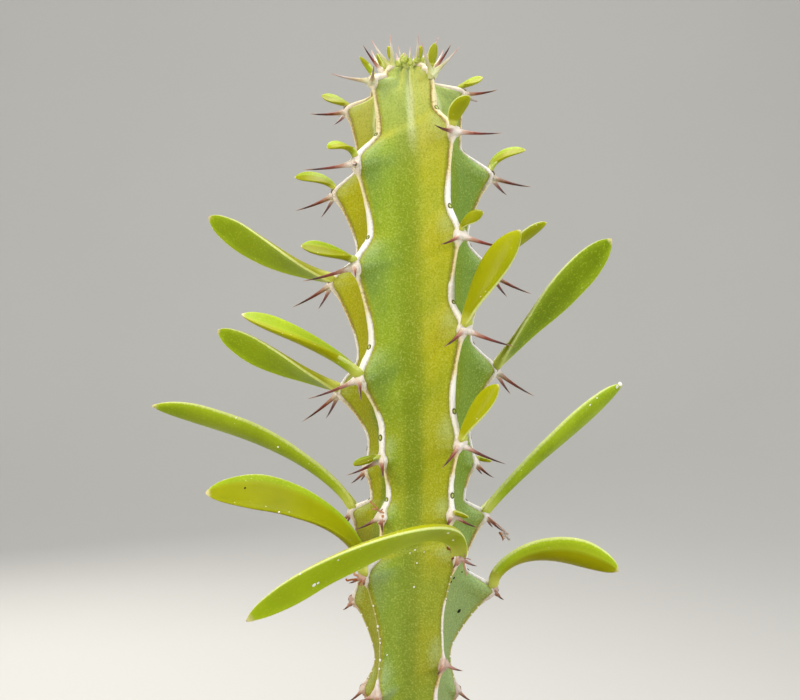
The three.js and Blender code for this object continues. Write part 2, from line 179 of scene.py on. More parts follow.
def smoother(piece, levels=1):
    only(piece)
    finer = piece.modifiers.new("finer", "SUBSURF")
    finer.levels = finer.render_levels = levels
    bpy.ops.object.modifier_apply(modifier=finer.name)


def setMark(piece, name, values):
    # a number for each vertex, which the finishes read by name
    mark = piece.data.attributes.get(name) or piece.data.attributes.new(name, "FLOAT", "POINT")
    mark.data.foreach_set("value", values)


def markAll(piece, **marks):
    # the same number at every vertex
    for name, value in marks.items():
        setMark(piece, name, [value] * len(piece.data.vertices))
    return piece


def rolledGrid(name, around, rows, place, markNames=()):
    # a flat grid rolled into a tube: place(column, row) gives each point in millimetres, then its marks
    selectNothing()
    bpy.ops.mesh.primitive_grid_add(x_subdivisions=around, y_subdivisions=rows, size=2)
    piece = newPiece(name)
    marks = {mark: [] for mark in markNames}
    for vertex in piece.data.vertices:
        column = round((vertex.co.x + 1) / 2 * around) % around
        row = round((vertex.co.y + 1) / 2 * rows)
        point, *values = place(column, row)
        vertex.co = point * mm
        for mark, value in zip(markNames, values):
            marks[mark].append(value)
    for mark, values in marks.items():
        setMark(piece, mark, values)
    tidyMesh(piece)
    return piece


def copyOf(master, name, matrix=None):
    piece = master.copy()
    piece.data = master.data.copy()
    piece.name = name
    piece.data.name = name
    if matrix is not None:
        piece.data.transform(matrix)
    bpy.context.scene.collection.objects.link(piece)
    return piece


def joined(pieces, name):
    selectNothing()
    for piece in pieces:
        piece.select_set(True)
    bpy.context.view_layer.objects.active = pieces[0]
    bpy.ops.object.join()
    return newPiece(name)


def pebble(name, stretch, unevenness, seed, divisions=2):
    # a small uneven ball
    selectNothing()
    bpy.ops.mesh.primitive_ico_sphere_add(subdivisions=divisions, radius=1)
    piece = newPiece(name)
    edit(piece)
    scaleBy(stretch)
    bpy.ops.transform.vertex_random(offset=unevenness, seed=seed)
    done()
    return piece


def frameMatrix(point, xAxis, zAxis, scale=(1, 1, 1)):
    # stands a piece made round the origin at a point in millimetres, its +Z along zAxis
    zAxis = zAxis.normalized()
    yAxis = zAxis.cross(xAxis).normalized()
    xAxis = yAxis.cross(zAxis)
    turned = Matrix((xAxis * scale[0], yAxis * scale[1], zAxis * scale[2])).transposed()
    return Matrix.Translation(point * mm) @ turned.to_4x4()


def blend(a, b, t):
    return a + (b - a) * t


def bell(distance, width):
    return math.exp(-((distance / width) ** 2))


def ease(value, low, high):
    t = min(max((value - low) / (high - low), 0), 1)
    return t * t * (3 - 2 * t)


def spotOn(piece, u, v):
    # where a sight line through a point of the picture meets a piece, or the piece's point nearest to it
    wide, high = camera["picture"]
    focal = camera["lens"] / camera["sensor"] * wide
    start = Vector(camera["place"])
    sight = Vector(((u - wide / 2) / focal, 1, (high / 2 - v) / focal)).normalized()
    hit, place, normal = piece.ray_cast(start, sight)[:3]
    if not hit:
        place, normal = piece.closest_point_on_mesh(start + sight * 0.25)[1:3]
    return place / mm, normal


def fromHex(text):
    # a colour written as on a paint card, in the renderer's own scale
    parts = [int(text[i : i + 2], 16) / 255 for i in (0, 2, 4)]
    return tuple(p / 12.92 if p <= 0.04045 else ((p + 0.055) / 1.055) ** 2.4 for p in parts) + (1.0,)


# finishes
class Wire:
    # one socket, so that a finish's sums read as sums
    def __init__(self, finish, socket):
        self.finish, self.socket = finish, socket

    def sum(self, operation, first, second=None, third=None):
        values = {i: v for i, v in enumerate((first, second, third)) if v is not None}
        return self.finish.node("ShaderNodeMath", {"operation": operation}, values)

    def __add__(self, other):
        return self.sum("ADD", self, other)

    def __radd__(self, other):
        return self.sum("ADD", other, self)

    def __sub__(self, other):
        return self.sum("SUBTRACT", self, other)

    def __rsub__(self, other):
        return self.sum("SUBTRACT", other, self)

    def __mul__(self, other):
        return self.sum("MULTIPLY", self, other)

    def __rmul__(self, other):
        return self.sum("MULTIPLY", other, self)

    def __truediv__(self, other):
        return self.sum("DIVIDE", self, other)

    def sway(self, amount):
        # a noise turned into a stray to either side of nothing
        return (self - 0.5) * amount

    def __pow__(self, other):
        return self.sum("POWER", self, other)


class Finish:
    def __init__(self, name):
        self.material = bpy.data.materials.new(name)
        self.material.use_nodes = True
        self.tree = self.material.node_tree
        self.tree.nodes.clear()
        self.place = self.node("ShaderNodeTexCoord", output="Object")
        self.body = None  # the colour so far

    def node(self, kind, settings=None, sockets=None, output=0):
        made = self.tree.nodes.new(kind)
        for key, value in (settings or {}).items():
            if key == "stops":
                ramp = made.color_ramp
                while len(ramp.elements) < len(value):
                    ramp.elements.new(1)
                for element, (position, colour) in zip(ramp.elements, value):
                    element.position = position
                    element.color = colour
            else:
                setattr(made, key, value)
        for key, value in (sockets or {}).items():
            if isinstance(value, Wire):
                self.tree.links.new(value.socket, made.inputs[key])
            else:
                made.inputs[key].default_value = value
        return Wire(self, made.outputs[output]) if made.outputs else made

    def mark(self, name):
        return self.node("ShaderNodeAttribute", {"attribute_name": name}, output="Fac")

    def height(self):
        # millimetres above the floor
        return self.node("ShaderNodeSeparateXYZ", None, {0: self.place}, output=2) * 1000

    def cloud(self, grain, detail=2.0, stretch=None, rough=0.55):
        # a noise whose grain is in millimetres, stretched by a factor along each axis
        place = self.place
        if stretch:
            place = self.node("ShaderNodeMapping", None, {"Vector": place, "Scale": stretch})
        sockets = {"Vector": place, "Scale": 1000.0 / grain, "Detail": detail, "Roughness": rough}
        return self.node("ShaderNodeTexNoise", None, sockets)

    def cells(self, grain, feature="F1", spread=1.0, output="Distance"):
        sockets = {"Vector": self.place, "Scale": 1000.0 / grain, "Randomness": spread}
        return self.node("ShaderNodeTexVoronoi", {"feature": feature}, sockets, output)

    def between(self, value, low, high):
        sockets = {0: value, 1: low, 2: high, 3: 0.0, 4: 1.0}
        return self.node("ShaderNodeMapRange", {"interpolation_type": "SMOOTHSTEP"}, sockets)

    def mix(self, share, *colours):
        # from the first colour to the second, each a wire or a paint card's text
        under, over = (fromHex(colour) if isinstance(colour, str) else colour for colour in colours)
        return self.node("ShaderNodeMix", {"data_type": "RGBA"}, {0: share, 6: under, 7: over}, output=2)

    def coat(self, share, colour):
        self.body = self.mix(share, self.body, colour)

    def ramp(self, value, *stops):
        colours = [(position, fromHex(text)) for position, text in stops]
        return self.node("ShaderNodeValToRGB", {"stops": colours}, {0: value})

    def bump(self, height, depth, strength=1.0, under=None):
        # depth in millimetres
        sockets = {"Strength": strength, "Distance": depth * mm, "Height": height}
        if under:
            sockets["Normal"] = under
        return self.node("ShaderNodeBump", None, sockets)

    def shade(self, **sockets):
        names = {"rough": "Roughness", "normal": "Normal", "gloss": "Specular IOR Level",
                 "flesh": "Subsurface Weight", "fleshRadius": "Subsurface Radius",
                 "fleshScale": "Subsurface Scale"}
        sockets = {names[key]: value for key, value in sockets.items()}
        skin = self.node("ShaderNodeBsdfPrincipled", None, {"Base Color": self.body} | sockets)
        self.node("ShaderNodeOutputMaterial", None, {"Surface": skin}, output=None)
        return self.material


# how the plant grows
# The same tables as the solids: millimetres, +Z up, bearings in degrees from -Y towards +X.
growth = {
    "apexHeight": 247.7,
    "footHeight": 45.3,
    "footRadius": 9.4,
    "soilTop": 76,
    "groove": 0.72,
    "grooveCurve": 1.5,
    "seatDrop": 0.9,  # from a tooth's tip in to the green edge under its margin
    "valleyAt": 0.6,
    "oldTeeth": 4,
    "oldestTooth": 84,
    "oldToothReach": 1.5,
    "softness": 3.0,
    # half widths of a margin in its hollow and above it, and of a shield, and how far a shield reaches
    "bandHalf": (0.34, 0.66),
    "shieldHalf": (0.55, 0.85),
    "shieldReach": 1.5,
    "marginShare": [1, 1, 1, 1, 1, 0.9, 0.8, 0.6],
    "bodyReach": [
        [76, 9.6], [100, 9.3], [126, 8.7], [133, 8.9], [138, 10], [146, 11.3], [152, 11.2], [160, 10.6],
        [168, 11], [178, 11.8], [192, 12.2], [206, 12.1], [222, 11.6], [233, 10.7], [240, 9.1], [246, 7],
    ],
    "lean": [[76, 0], [125, -0.3], [145, 0], [165, 0.7], [190, 0.4], [212, 0], [232, -0.5], [248.6, -1.1]],
    "apexSteps": 9,
    "toothSteps": 28,
    "footHeights": [82.5, 81, 79.5, 78, 76.5, 75, 73.5, 72, 70, 60, 45.3],
}
# bearing, fill of the hollows, dip of the spines below the tip, and the teeth from the top down as
# [height, reach, reach of the hollow below, how far down the hollow is deepest]
ribs = [
    {"name": "front_left", "bearing": -42, "fill": 1.2, "dip": 0, "teeth": [
        [246.2, 5, 7.6], [242.2, 11.3, 10, 0.5], [225.5, 16.9], [205.7, 17.7], [184.2, 16.9],
        [168.5, 10.9, 8.9], [157.4, 10.7], [146.5, 15], [122.9, 10.8]]},
    {"name": "front_right", "bearing": 35, "fill": 0.8, "dip": 0, "teeth": [
        [246.6, 4, 6.4], [244.3, 8.4, 9, 0.45], [231.8, 14.6], [211.7, 15.8], [193.8, 16.5],
        [171.8, 14.6, 12.2], [158, 12.6], [150.3, 15.2], [129.2, 11.2]]},
    {"name": "side_right", "bearing": 105, "fill": 0, "dip": 8, "teeth": [
        [246.2, 5.2], [241.7, 11.9], [225, 17.2], [205.1, 16.8], [185.5, 17.3], [167, 12.6], [156.2, 15.2],
        [140.9, 17.5], [121.2, 9.9]]},
    {"name": "rear", "bearing": 178.5, "fill": 0.6, "dip": 0, "teeth": [
        [246.2, 5, 7.4], [240, 12.5], [227.5, 16.3], [209, 17], [188.5, 17], [169.5, 12.2], [160, 13],
        [144.5, 16], [125, 10.6]]},
    {"name": "side_left", "bearing": 252, "fill": 0.4, "dip": 12, "teeth": [
        [246.2, 5.6, 8.4], [238.3, 13.7], [221.4, 16.9], [203.2, 18], [181, 16.8, 10.6], [165.6, 11, 9.9],
        [157, 13.9], [139.1, 12.9, 8.4], [121.2, 10.5]]},
]


def along(points, position):
    # a smooth curve through [position, value] points, held level past its ends
    last = len(points) - 1
    if position <= points[0][0]:
        return points[0][1]
    if position >= points[last][0]:
        return points[last][1]
    i = bisect.bisect_right([point[0] for point in points], position) - 1

    def slope(j):
        low, high = points[max(j - 1, 0)], points[min(j + 1, last)]
        return (high[1] - low[1]) / (high[0] - low[0])

    span = points[i + 1][0] - points[i][0]
    t = (position - points[i][0]) / span
    start = points[i][1] + slope(i) * span * t * (1 - t) ** 2
    change = (points[i + 1][1] - points[i][1]) * t * t * (3 - 2 * t)
    return start + change - slope(i + 1) * span * t * t * (1 - t)


def axisAt(height):
    return Vector((along(growth["lean"], height), 0, height))


def outward(bearing):
    return Vector((math.sin(math.radians(bearing)), -math.cos(math.radians(bearing)), 0))


def aim(bearing, slope):
    tilt = math.radians(slope)
    return outward(bearing) * math.cos(tilt) + upward * math.sin(tilt)


def allTeeth(rib):
    names = ("height", "reach", "hollow", "valley")
    teeth = [dict.fromkeys(names) | dict(zip(names, tooth)) | {"old": False} for tooth in rib["teeth"]]
    lowest = teeth[-1]["height"]
    for i in range(1, growth["oldTeeth"] + 1):
        height = lowest + (growth["oldestTooth"] - lowest) * i / growth["oldTeeth"]
        reach = along(growth["bodyReach"], height) + growth["oldToothReach"]
        teeth.append({"height": height, "reach": reach, "hollow": None, "valley": None, "old": True})
    return teeth


def toothShare(part):
    if part <= growth["valleyAt"]:
        return (1 - part / growth["valleyAt"]) ** 1.5
    return ease((part - growth["valleyAt"]) / (1 - growth["valleyAt"]), 0.13, 0.98)


def shifted(part, valley):
    if part <= growth["valleyAt"]:
        return part * valley / growth["valleyAt"]
    return blend(valley, 1, (part - growth["valleyAt"]) / (1 - growth["valleyAt"]))


def ribCrest(rib):
    # the green edge of a rib from the growing tip down to the foot
    teeth = allTeeth(rib)
    drop = growth["seatDrop"]
    crest = []
    top = teeth[0]
    for step in range(growth["apexSteps"]):
        turn = (1 - step / growth["apexSteps"]) * math.pi / 2
        height = top["height"] + (growth["apexHeight"] - top["height"]) * math.sin(turn)
        reach = max(0.5, (top["reach"] - drop) * math.cos(turn))
        crest.append({"height": height, "reach": reach, "half": 0.5, "tooth": -1, "part": 1, "horn": False})
    for i, tooth in enumerate(teeth[:-1]):
        following = teeth[i + 1]
        span = tooth["height"] - following["height"]
        body = along(growth["bodyReach"], tooth["height"] - span * growth["valleyAt"])
        body += 0 if following["old"] else rib["fill"]
        hollow = tooth["hollow"] or min(body, tooth["reach"] - 0.3, following["reach"])
        for step in range(growth["toothSteps"]):
            part = step / growth["toothSteps"]
            peak = tooth["reach"] if part <= growth["valleyAt"] else following["reach"]
            reach = hollow + (peak - hollow) * toothShare(part) - drop
            height = tooth["height"] - span * shifted(part, tooth["valley"] or growth["valleyAt"])
            crest.append({"height": height, "reach": reach, "tooth": i, "part": part,
                          "half": hornHalf(part, i, span), "horn": True})
    crest.append({"height": teeth[-1]["height"], "reach": teeth[-1]["reach"] - drop, "half": 0.8,
                  "tooth": len(teeth) - 1, "part": 0, "horn": True})
    for height in growth["footHeights"]:
        wood = along(growth["bodyReach"], height) - drop + growth["oldToothReach"] * ease(height, 77, 84)
        reach = blend(growth["footRadius"], wood, ease(height, growth["soilTop"] - 4, growth["oldestTooth"]))
        crest.append({"height": height, "reach": reach, "half": 0.5, "tooth": len(teeth) - 1, "part": 0.1,
                      "horn": False})
    # the reach with its teeth smoothed away, for the faces between the ribs
    for station in crest:
        total = weights = 0
        for other in crest:
            weight = bell(station["height"] - other["height"], growth["softness"])
            total += weight * other["reach"]
            weights += weight
        station["soft"] = min(total / weights, station["reach"] + 0.4)
    return crest


def hornHalf(part, toothIndex, span):
    # half the margin's width: a shield on the tooth, narrow below it, broad again above the next
    share = growth["marginShare"][min(toothIndex, len(growth["marginShare"]) - 1)]
    band = share * blend(*growth["bandHalf"], ease(part, 0.25, 0.62))
    nearest = min(part, 1 - part) * span
    least, more = growth["shieldHalf"]
    return max(band, (least + more * share) * bell(nearest, growth["shieldReach"]))


def crestPoint(rib, station):
    return axisAt(station["height"]) + outward(rib["bearing"]) * station["reach"]


def crestNormal(rib, crest, i, reach=2):
    # the way the edge faces, over a few stations on each side
    before, after = crest[max(0, i - reach)], crest[min(len(crest) - 1, i + reach)]
    rise = before["height"] - after["height"]
    run = before["reach"] - after["reach"]
    return (outward(rib["bearing"]) * rise - upward * run).normalized()


crests = [ribCrest(rib) for rib in ribs]
rowCount = len(crests[0])
print("crests laid,", rowCount, "rows")


# stem
stem = {
    "faceSteps": 25,  # points across one face
    # furrows of the young tip on each face, as share across, width, depth, and the heights they grow between
    "furrow": [(0.5, 0.07, 0.8, 234, 245)],
    "furrows": {0: [(0.55, 0.06, 1.0, 231, 244), (0.3, 0.05, 0.7, 238, 245), (0.8, 0.05, 0.4, 240, 246)]},
    "unevenness": 0.13,
    # painted light and shade: from the side in shade, turned away from the warm light, to the side turned to
    # it
    "greens": [(0.02, "7b983a"), (0.24, "8fa72b"), (0.5, "9aa825"), (0.78, "b6b51b"), (0.97, "a9a512")],
    # painted shade: each face's hollow is painted darker
    "hollowAt": {0: 0.48},  # where across a face its darker hollow runs, if not at the middle
    "hollowShadeWidth": 0.19,
    "furrowWidth": 0.09,
    "edgeWidth": 0.16,
    "hollowShadeColour": "7c8e17",
    # pale blue of a waxy bloom, also used for a painted highlight on the shoulders and a cool painted shade
    "bloomAndCoolLightColour": "b7cc98",
    "tipColour": "c9d184",
    "furrowColour": "d8dfa6",
    "edgeColour": "97921d",
    "oldColour": "74883d",
    "speckLight": "cfd272",
    "speckDark": "5d7516",
}


def faceFrame(k, row):
    # both ends of one face's cross-section and how far its middle is drawn in
    rib, nextRib = ribs[k], ribs[(k + 1) % len(ribs)]
    here, there = crests[k][row], crests[(k + 1) % len(ribs)][row]

    def side(one, station, sign):
        aside = sign * min(station["half"], 1) * min(1, station["reach"] / 6)
        return crestPoint(one, station) + outward(one["bearing"] + 90) * aside

    start, end = side(rib, here, 1), side(nextRib, there, -1)
    softStart = start + outward(rib["bearing"]) * (here["soft"] - here["reach"])
    softEnd = end + outward(nextRib["bearing"]) * (there["soft"] - there["reach"])
    height = (start.z + end.z) / 2
    gap = (nextRib["bearing"] - rib["bearing"]) % 360
    share = blend(0.96, growth["groove"], ease(height, growth["soilTop"] - 2, growth["oldestTooth"]))
    limit = growth["footRadius"] if height < growth["soilTop"] else 99
    body = min(along(growth["bodyReach"], height), limit)
    reach = min(share * body, share * (here["soft"] + there["soft"]) / 2)
    bottom = axisAt(height) + outward(rib["bearing"] + gap / 2) * reach
    return start, end, softStart, softEnd, bottom


faceFrames = [[faceFrame(k, row) for row in range(rowCount)] for k in range(len(ribs))]


def facePoint(k, row, t):
    start, end, softStart, softEnd, bottom = faceFrames[k][row]
    inside = min(t, 1 - t) * 2
    soft = ease(inside, 0.04, 0.62)
    start, end = start.lerp(softStart, soft), end.lerp(softEnd, soft)
    depth = 1 - abs(2 * t - 1) ** growth["grooveCurve"]
    point = start.lerp(end, t) + (bottom - (start + end) / 2) * depth
    away = (point - axisAt(point.z)).normalized()
    for at, wide, deep, low, high in stem["furrows"].get(k, stem["furrow"]):
        fades = 1 - ease(point.z, growth["apexHeight"] - 0.9, growth["apexHeight"])
        point -= away * deep * ease(point.z, low, high) * fades * bell(t - at, wide)
    rough = noise.noise(point * 0.16) * 0.7 + noise.noise(point * 0.45) * 0.3
    return point + away * rough * stem["unevenness"] * 2 * ease(inside, 0, 0.3)


def bloomAndSheenOf(k, row, t):
    # the waxy flush on the shoulder above a tooth, strongest beside the rib, with a painted highlight on the
    # shoulder in it
    value = 0
    for one, close in ((k, 1 - t), ((k + 1) % len(ribs), t)):
        station = crests[one][row]
        if station["tooth"] < 0:
            continue
        shoulder = bell(station["part"] - 0.86, 0.17)
        if station["part"] < 0.12:
            shoulder = max(shoulder, 0.8 - station["part"] * 6)
        value = max(value, shoulder * ease(close, 0.58, 1.0))
    return value


def buildStem():
    around = len(ribs) * stem["faceSteps"]

    def place(column, row):
        k, step = divmod(column, stem["faceSteps"])
        t = step / (stem["faceSteps"] - 1)
        if row == 0 or row == rowCount + 1:
            height = growth["apexHeight"] + 0.15 if row == 0 else growth["footHeight"]
            return axisAt(height), 0, 0, 0, 0
        row -= 1
        point = facePoint(k, row, t)
        edge = 1 - ease(min(t, 1 - t) * 2, 0, stem["edgeWidth"])
        main = stem["furrows"].get(k, stem["furrow"])[0]
        furrow = bell(t - main[0], stem["furrowWidth"]) * ease(point.z, 222, 240)
        # how near the middle of the face's hollow, where shade is painted
        hollow = bell(t - stem["hollowAt"].get(k, 0.5), stem["hollowShadeWidth"])
        return point, bloomAndSheenOf(k, row, t), edge, furrow, hollow

    piece = rolledGrid("stem_flesh", around, rowCount + 1, place, ("bloom", "edge", "furrow", "hollow"))
    # painted light: the side facing left and a little up, where the warm light falls, is painted yellower
    setMark(piece, "sun", [ease(-v.normal.x + 0.15 * v.normal.z, -0.75, 0.9) for v in piece.data.vertices])
    return piece


def stemFinish():
    paint = Finish("stemFlesh")
    names = ("sun", "bloom", "edge", "furrow", "hollow")
    sun, bloom, edge, furrow, hollow = (paint.mark(name) for name in names)
    height = paint.height()
    blotch = paint.cloud(11, 3)
    streak = paint.cloud(2.4, 2, (1, 1, 0.22))
    grain = paint.cloud(0.34, 2)
    pores = paint.cells(0.5)
    # painted light: the greens run from the shaded side to the warmly lit one, with blotches and streaks of
    # the flesh's own tone
    lightAndTone = sun + blotch.sway(0.36) + streak.sway(0.16)
    paint.body = paint.ramp(lightAndTone, *stem["greens"])
    # painted shade along the middle of each face's hollow
    band = paint.between(hollow + streak.sway(0.3) + blotch.sway(0.3), 0.2, 0.95)
    # painted shade: darker from about 146 to 196 mm up, most between 162 and 180 mm
    paintedShadeBand = paint.between(height + blotch.sway(14), 196, 180) * paint.between(height, 146, 162)
    paint.coat(band * (0.55 + paintedShadeBand * 0.4), stem["hollowShadeColour"])
    paint.coat(paintedShadeBand * 0.3, stem["hollowShadeColour"])
    old = paint.between(height + blotch.sway(24), 172, 132)
    paint.coat(old * 0.42, stem["oldColour"])
    # painted shade: a cool pale blue on the lower stem's side turned away from the warm light
    paint.coat(old * paint.between(sun, 0.3, 0.02) * 0.36, stem["bloomAndCoolLightColour"])
    tip = paint.between(height + blotch.sway(9), 222, 246)
    paint.coat(tip * 0.5, stem["tipColour"])
    # waxy bloom, partly a painted highlight on each shoulder above a tooth
    waxAndSheen = paint.between(bloom + blotch.sway(0.5) + grain.sway(0.5), 0.3, 1.1)
    paint.coat(waxAndSheen * 0.4, stem["bloomAndCoolLightColour"])
    pale = paint.between(furrow + grain.sway(0.3), 0.15, 0.9)
    paint.coat(pale * 0.75, stem["furrowColour"])
    paint.coat(paint.between(edge + streak.sway(0.4), 0.2, 0.9) * 0.5, stem["edgeColour"])
    paint.coat(paint.between(grain, 0.52, 0.68) * 0.28, stem["speckLight"])
    paint.coat(paint.between(grain, 0.48, 0.34) * 0.28, stem["speckDark"])
    paint.coat(paint.between(pores, 0.22, 0.08) * 0.25, stem["speckDark"])
    relief = paint.bump(blotch, 0.35, 0.5)
    relief = paint.bump(grain - pores * 0.6, 0.05, 0.6, relief)
    rough = 0.5 + waxAndSheen * 0.2 + grain.sway(0.1)
    return paint.shade(rough=rough, normal=relief, flesh=0.12, fleshRadius=(0.9, 1.0, 0.15),
                       fleshScale=0.0018, gloss=0.16)


stemPiece = buildStem()
stemPiece.data.materials.append(stemFinish())
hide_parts("stem")
print("stem done,", len(stemPiece.data.polygons), "faces")


# margins
margin = {
    "sides": 16,
    "outer": 0.62,
    "shieldOuter": 0.46,
    "sunk": 0.35,
    "shieldFade": 1.6,
    "youngFrom": (242.5, 246),
    "agedBelow": (118, 172),
    # stretches where the old margin has worn to a thread, as rib: [[from height, to height, share left]]
    "worn": {
        "front_left": [[125.5, 145, 0.16]],
        "front_right": [[141.5, 147.5, 0.14], [130.5, 141.5, 0.45]],
        "side_left": [[123, 138, 0.14]],
        "side_right": [[123, 139.5, 0.14]],
    },
    "hornColour": "f8f4ee",
    "creamColour": "ebdc9c",
    "goldColour": "b0943a",
    "shieldColour": "ecdfd4",
    "oldColour": "bd8c74",
    "rimColour": "6b4f22",
    "crackColour": "8d6a3c",
    "wornColour": "a3a33a",
}


def wornShare(rib, height):
    share = 1
    for low, high, left in margin["worn"].get(rib["name"], []):
        inside = ease(height, low - 1, low + 1) * (1 - ease(height, high - 1, high + 1))
        share = min(share, blend(1, left, inside))
    return share


def buildMargin(rib, crest):
    rows = [i for i, station in enumerate(crest) if station["horn"]]
    teeth = allTeeth(rib)
    across = outward(rib["bearing"] + 90)
    seed = rib["bearing"] * 7.3

    def place(column, row):
        end = row == 0 or row == len(rows) + 1
        i = rows[min(max(row - 1, 0), len(rows) - 1)]
        station = crest[i]
        normal = crestNormal(rib, crest, i)
        shield = max(bell(station["height"] - tooth["height"], margin["shieldFade"]) for tooth in teeth)
        worn = wornShare(rib, station["height"])
        wobble = noise.noise(Vector((seed, 0, station["height"] * 0.55))) * 0.16
        wobble += noise.noise(Vector((seed + 9, 3, station["height"] * 1.7))) * 0.12
        angle = 2 * math.pi * column / margin["sides"]
        x, y = math.cos(angle), math.sin(angle)
        lop = noise.noise(Vector((seed + x * 4, 7, station["height"] * 0.9))) * 0.13
        half = station["half"] * (1 + wobble + lop) * worn
        thick = (margin["outer"] + margin["shieldOuter"] * shield) * blend(0.62, 1, ease(worn, 0.2, 0.8))
        young = ease(station["height"], *margin["youngFrom"])
        half *= blend(1, 0.6, young * (1 - shield * 0.6))
        thick *= (1 + 0.5 * wobble) * blend(1, 0.7, young)
        out = thick * y ** 0.62 if y > 0 else margin["sunk"] * y
        if end:
            x, out = 0, 0.1
        point = crestPoint(rib, station) + across * (x * half) + normal * out
        age = 1 - ease(station["height"], *margin["agedBelow"])
        tan = bell(station["part"] - 0.24, 0.2) if station["tooth"] < len(rib["teeth"]) else 0.3
        tan = max(tan, 0.8 * ease(station["height"], 224, 236))
        return point, abs(x) * (1 if y > -0.2 else 1.2), shield, age, tan, 1 - worn

    return rolledGrid(f"margin_{rib['name']}_horn", margin["sides"], len(rows) + 1, place,
                      ("side", "shield", "age", "tan", "worn"))


def marginFinish():
    paint = Finish("marginHorn")
    side, shield, age, tan, worn = (paint.mark(name) for name in ("side", "shield", "age", "tan", "worn"))
    broad = paint.cloud(4.5, 3)
    grain = paint.cloud(0.45, 3)
    cracks = paint.cells(0.8, "DISTANCE_TO_EDGE")
    gold = paint.between(tan + broad.sway(0.8), 0.15, 0.8)
    paint.body = paint.mix(gold * 0.8, margin["hornColour"], margin["creamColour"])
    # the horn thins out to gold and then brown along its edges
    thin = paint.between(side + grain.sway(0.6), 0.62, 0.96)
    paint.coat(thin * (0.12 + gold * 0.6) * (1 - shield * 0.7), margin["goldColour"])
    rim = paint.between(side + grain.sway(0.3), 0.88, 1.04)
    paint.coat(rim * (0.45 + gold * 0.35), margin["rimColour"])
    flecks = paint.between(grain, 0.55, 0.66) * gold
    paint.coat(flecks * 0.45, margin["goldColour"])
    paint.coat(shield * 0.75, margin["shieldColour"])
    old = paint.between(age + broad.sway(1.2), 0.45, 1.25)
    paint.coat(old * (0.15 + shield * 0.6), margin["oldColour"])
    green = paint.between(worn + grain.sway(0.4), 0.5, 0.8)
    paint.coat(green * 0.8, margin["wornColour"])
    crack = paint.between(cracks, 0.07, 0.0) * paint.between(broad, 0.45, 0.65)
    paint.coat(crack * (0.25 + shield * 0.35), margin["crackColour"])
    relief = paint.bump(grain + broad, 0.14, 0.7)
    relief = paint.bump(cracks, 0.07, 0.4, relief)
    return paint.shade(rough=0.6 + grain.sway(0.25), normal=relief, flesh=0.08,
                       fleshRadius=(1.0, 0.8, 0.6), fleshScale=0.0008, gloss=0.3)


hornFinish = marginFinish()
for rib, crest in zip(ribs, crests):
    piece = buildMargin(rib, crest)
    piece.data.materials.append(hornFinish)
    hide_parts(f"margin_{rib['name']}")
print("margins done")


# bud scars and beads on the margins
buds = {
    "part": 0.7,  # how far down from one tooth to the next a scar sits
    "ring": (0.42, 0.17),
    "shape": (0.8, 1.15, 0.8),
    "lowest": 92,
    "ringColour": "4f5320",
    "heartColour": "b4c268",
    "beadStep": 1.5,
    "beadSize": (0.13, 0.27),
    "beadShape": (0.8, 1.1, 0.9),
}


def onCrest(k, height, lift):
    # a point on a margin's outer face, the way it faces, and the way across
    crest = crests[k]
    i = min(range(len(crest)), key=lambda n: abs(crest[n]["height"] - height))
    normal = crestNormal(ribs[k], crest, i)
    return crestPoint(ribs[k], crest[i]) + normal * lift, normal, outward(ribs[k]["bearing"] + 90)


def scarMaster():
    selectNothing()
    radius, thickness = buds["ring"]
    bpy.ops.mesh.primitive_torus_add(major_radius=radius, minor_radius=thickness, major_segments=18,
                                     minor_segments=8)
    ring = newPiece("scar_ring")
    markAll(ring, heart=0)
    selectNothing()
    bpy.ops.mesh.primitive_uv_sphere_add(segments=14, ring_count=7, radius=radius)
    heart = newPiece("scar_heart")
    edit(heart)
    scaleBy((1, 1, 0.35))
    done()
    markAll(heart, heart=1)
    master = joined([ring, heart], "scar_master")
    edit(master)
    scaleBy(buds["shape"])
    done()
    bpy.ops.object.shade_smooth()
    return master


def scarFinish():
    paint = Finish("budScar")
    grain = paint.cloud(0.4, 2)
    paint.body = paint.mix(paint.mark("heart"), buds["ringColour"], buds["heartColour"])
    paint.coat(paint.between(grain, 0.4, 0.7) * 0.3, margin["creamColour"])
    return paint.shade(rough=0.6, normal=paint.bump(grain, 0.05, 0.5), gloss=0.3)


def buildScars(chance):
    master = scarMaster()
    copies = []
    for k, rib in enumerate(ribs):
        teeth = allTeeth(rib)
        for tooth, following in zip(teeth[1:], teeth[2:]):
            if following["height"] < buds["lowest"] or tooth["height"] - following["height"] < 8:
                continue
            down = shifted(buds["part"], tooth["valley"] or growth["valleyAt"])
            height = blend(tooth["height"], following["height"], down)
            if wornShare(rib, height) < 0.5:
                continue
            place, normal, across = onCrest(k, height, margin["outer"] * 0.92)
            size = chance.uniform(0.85, 1.15) * mm
            copies.append(copyOf(master, "scar_copy", frameMatrix(place, across, normal, (size, size, size))))
    bpy.data.objects.remove(master)
    return joined(copies, "bud_scars")


def buildBeads(chance):
    master = pebble("bead_master", (1, 1, 1), 0.12, 4)
    bpy.ops.object.shade_smooth()
    copies = []
    for k, rib in enumerate(ribs):
        for low, high, share in margin["worn"].get(rib["name"], []):
            height = low + 0.8
            while height < high - 0.5:
                size = chance.uniform(*buds["beadSize"]) * (1 if share < 0.5 else 0.7)
                place, normal, across = onCrest(k, height, 0.1 + size * 0.5)
                place += across * chance.uniform(-0.15, 0.15)
                scale = [side * size * mm for side in buds["beadShape"]]
                copies.append(copyOf(master, "bead_copy", frameMatrix(place, across, normal, scale)))
                height += buds["beadStep"] * chance.uniform(0.6, 1.3)
    bpy.data.objects.remove(master)
    return joined(copies, "margin_beads")


chance = random.Random(31)
scarPiece, beadPiece = buildScars(chance), buildBeads(chance)
scarPiece.data.materials.append(scarFinish())
beadPiece.data.materials.append(hornFinish)
print("bud scars and beads done")


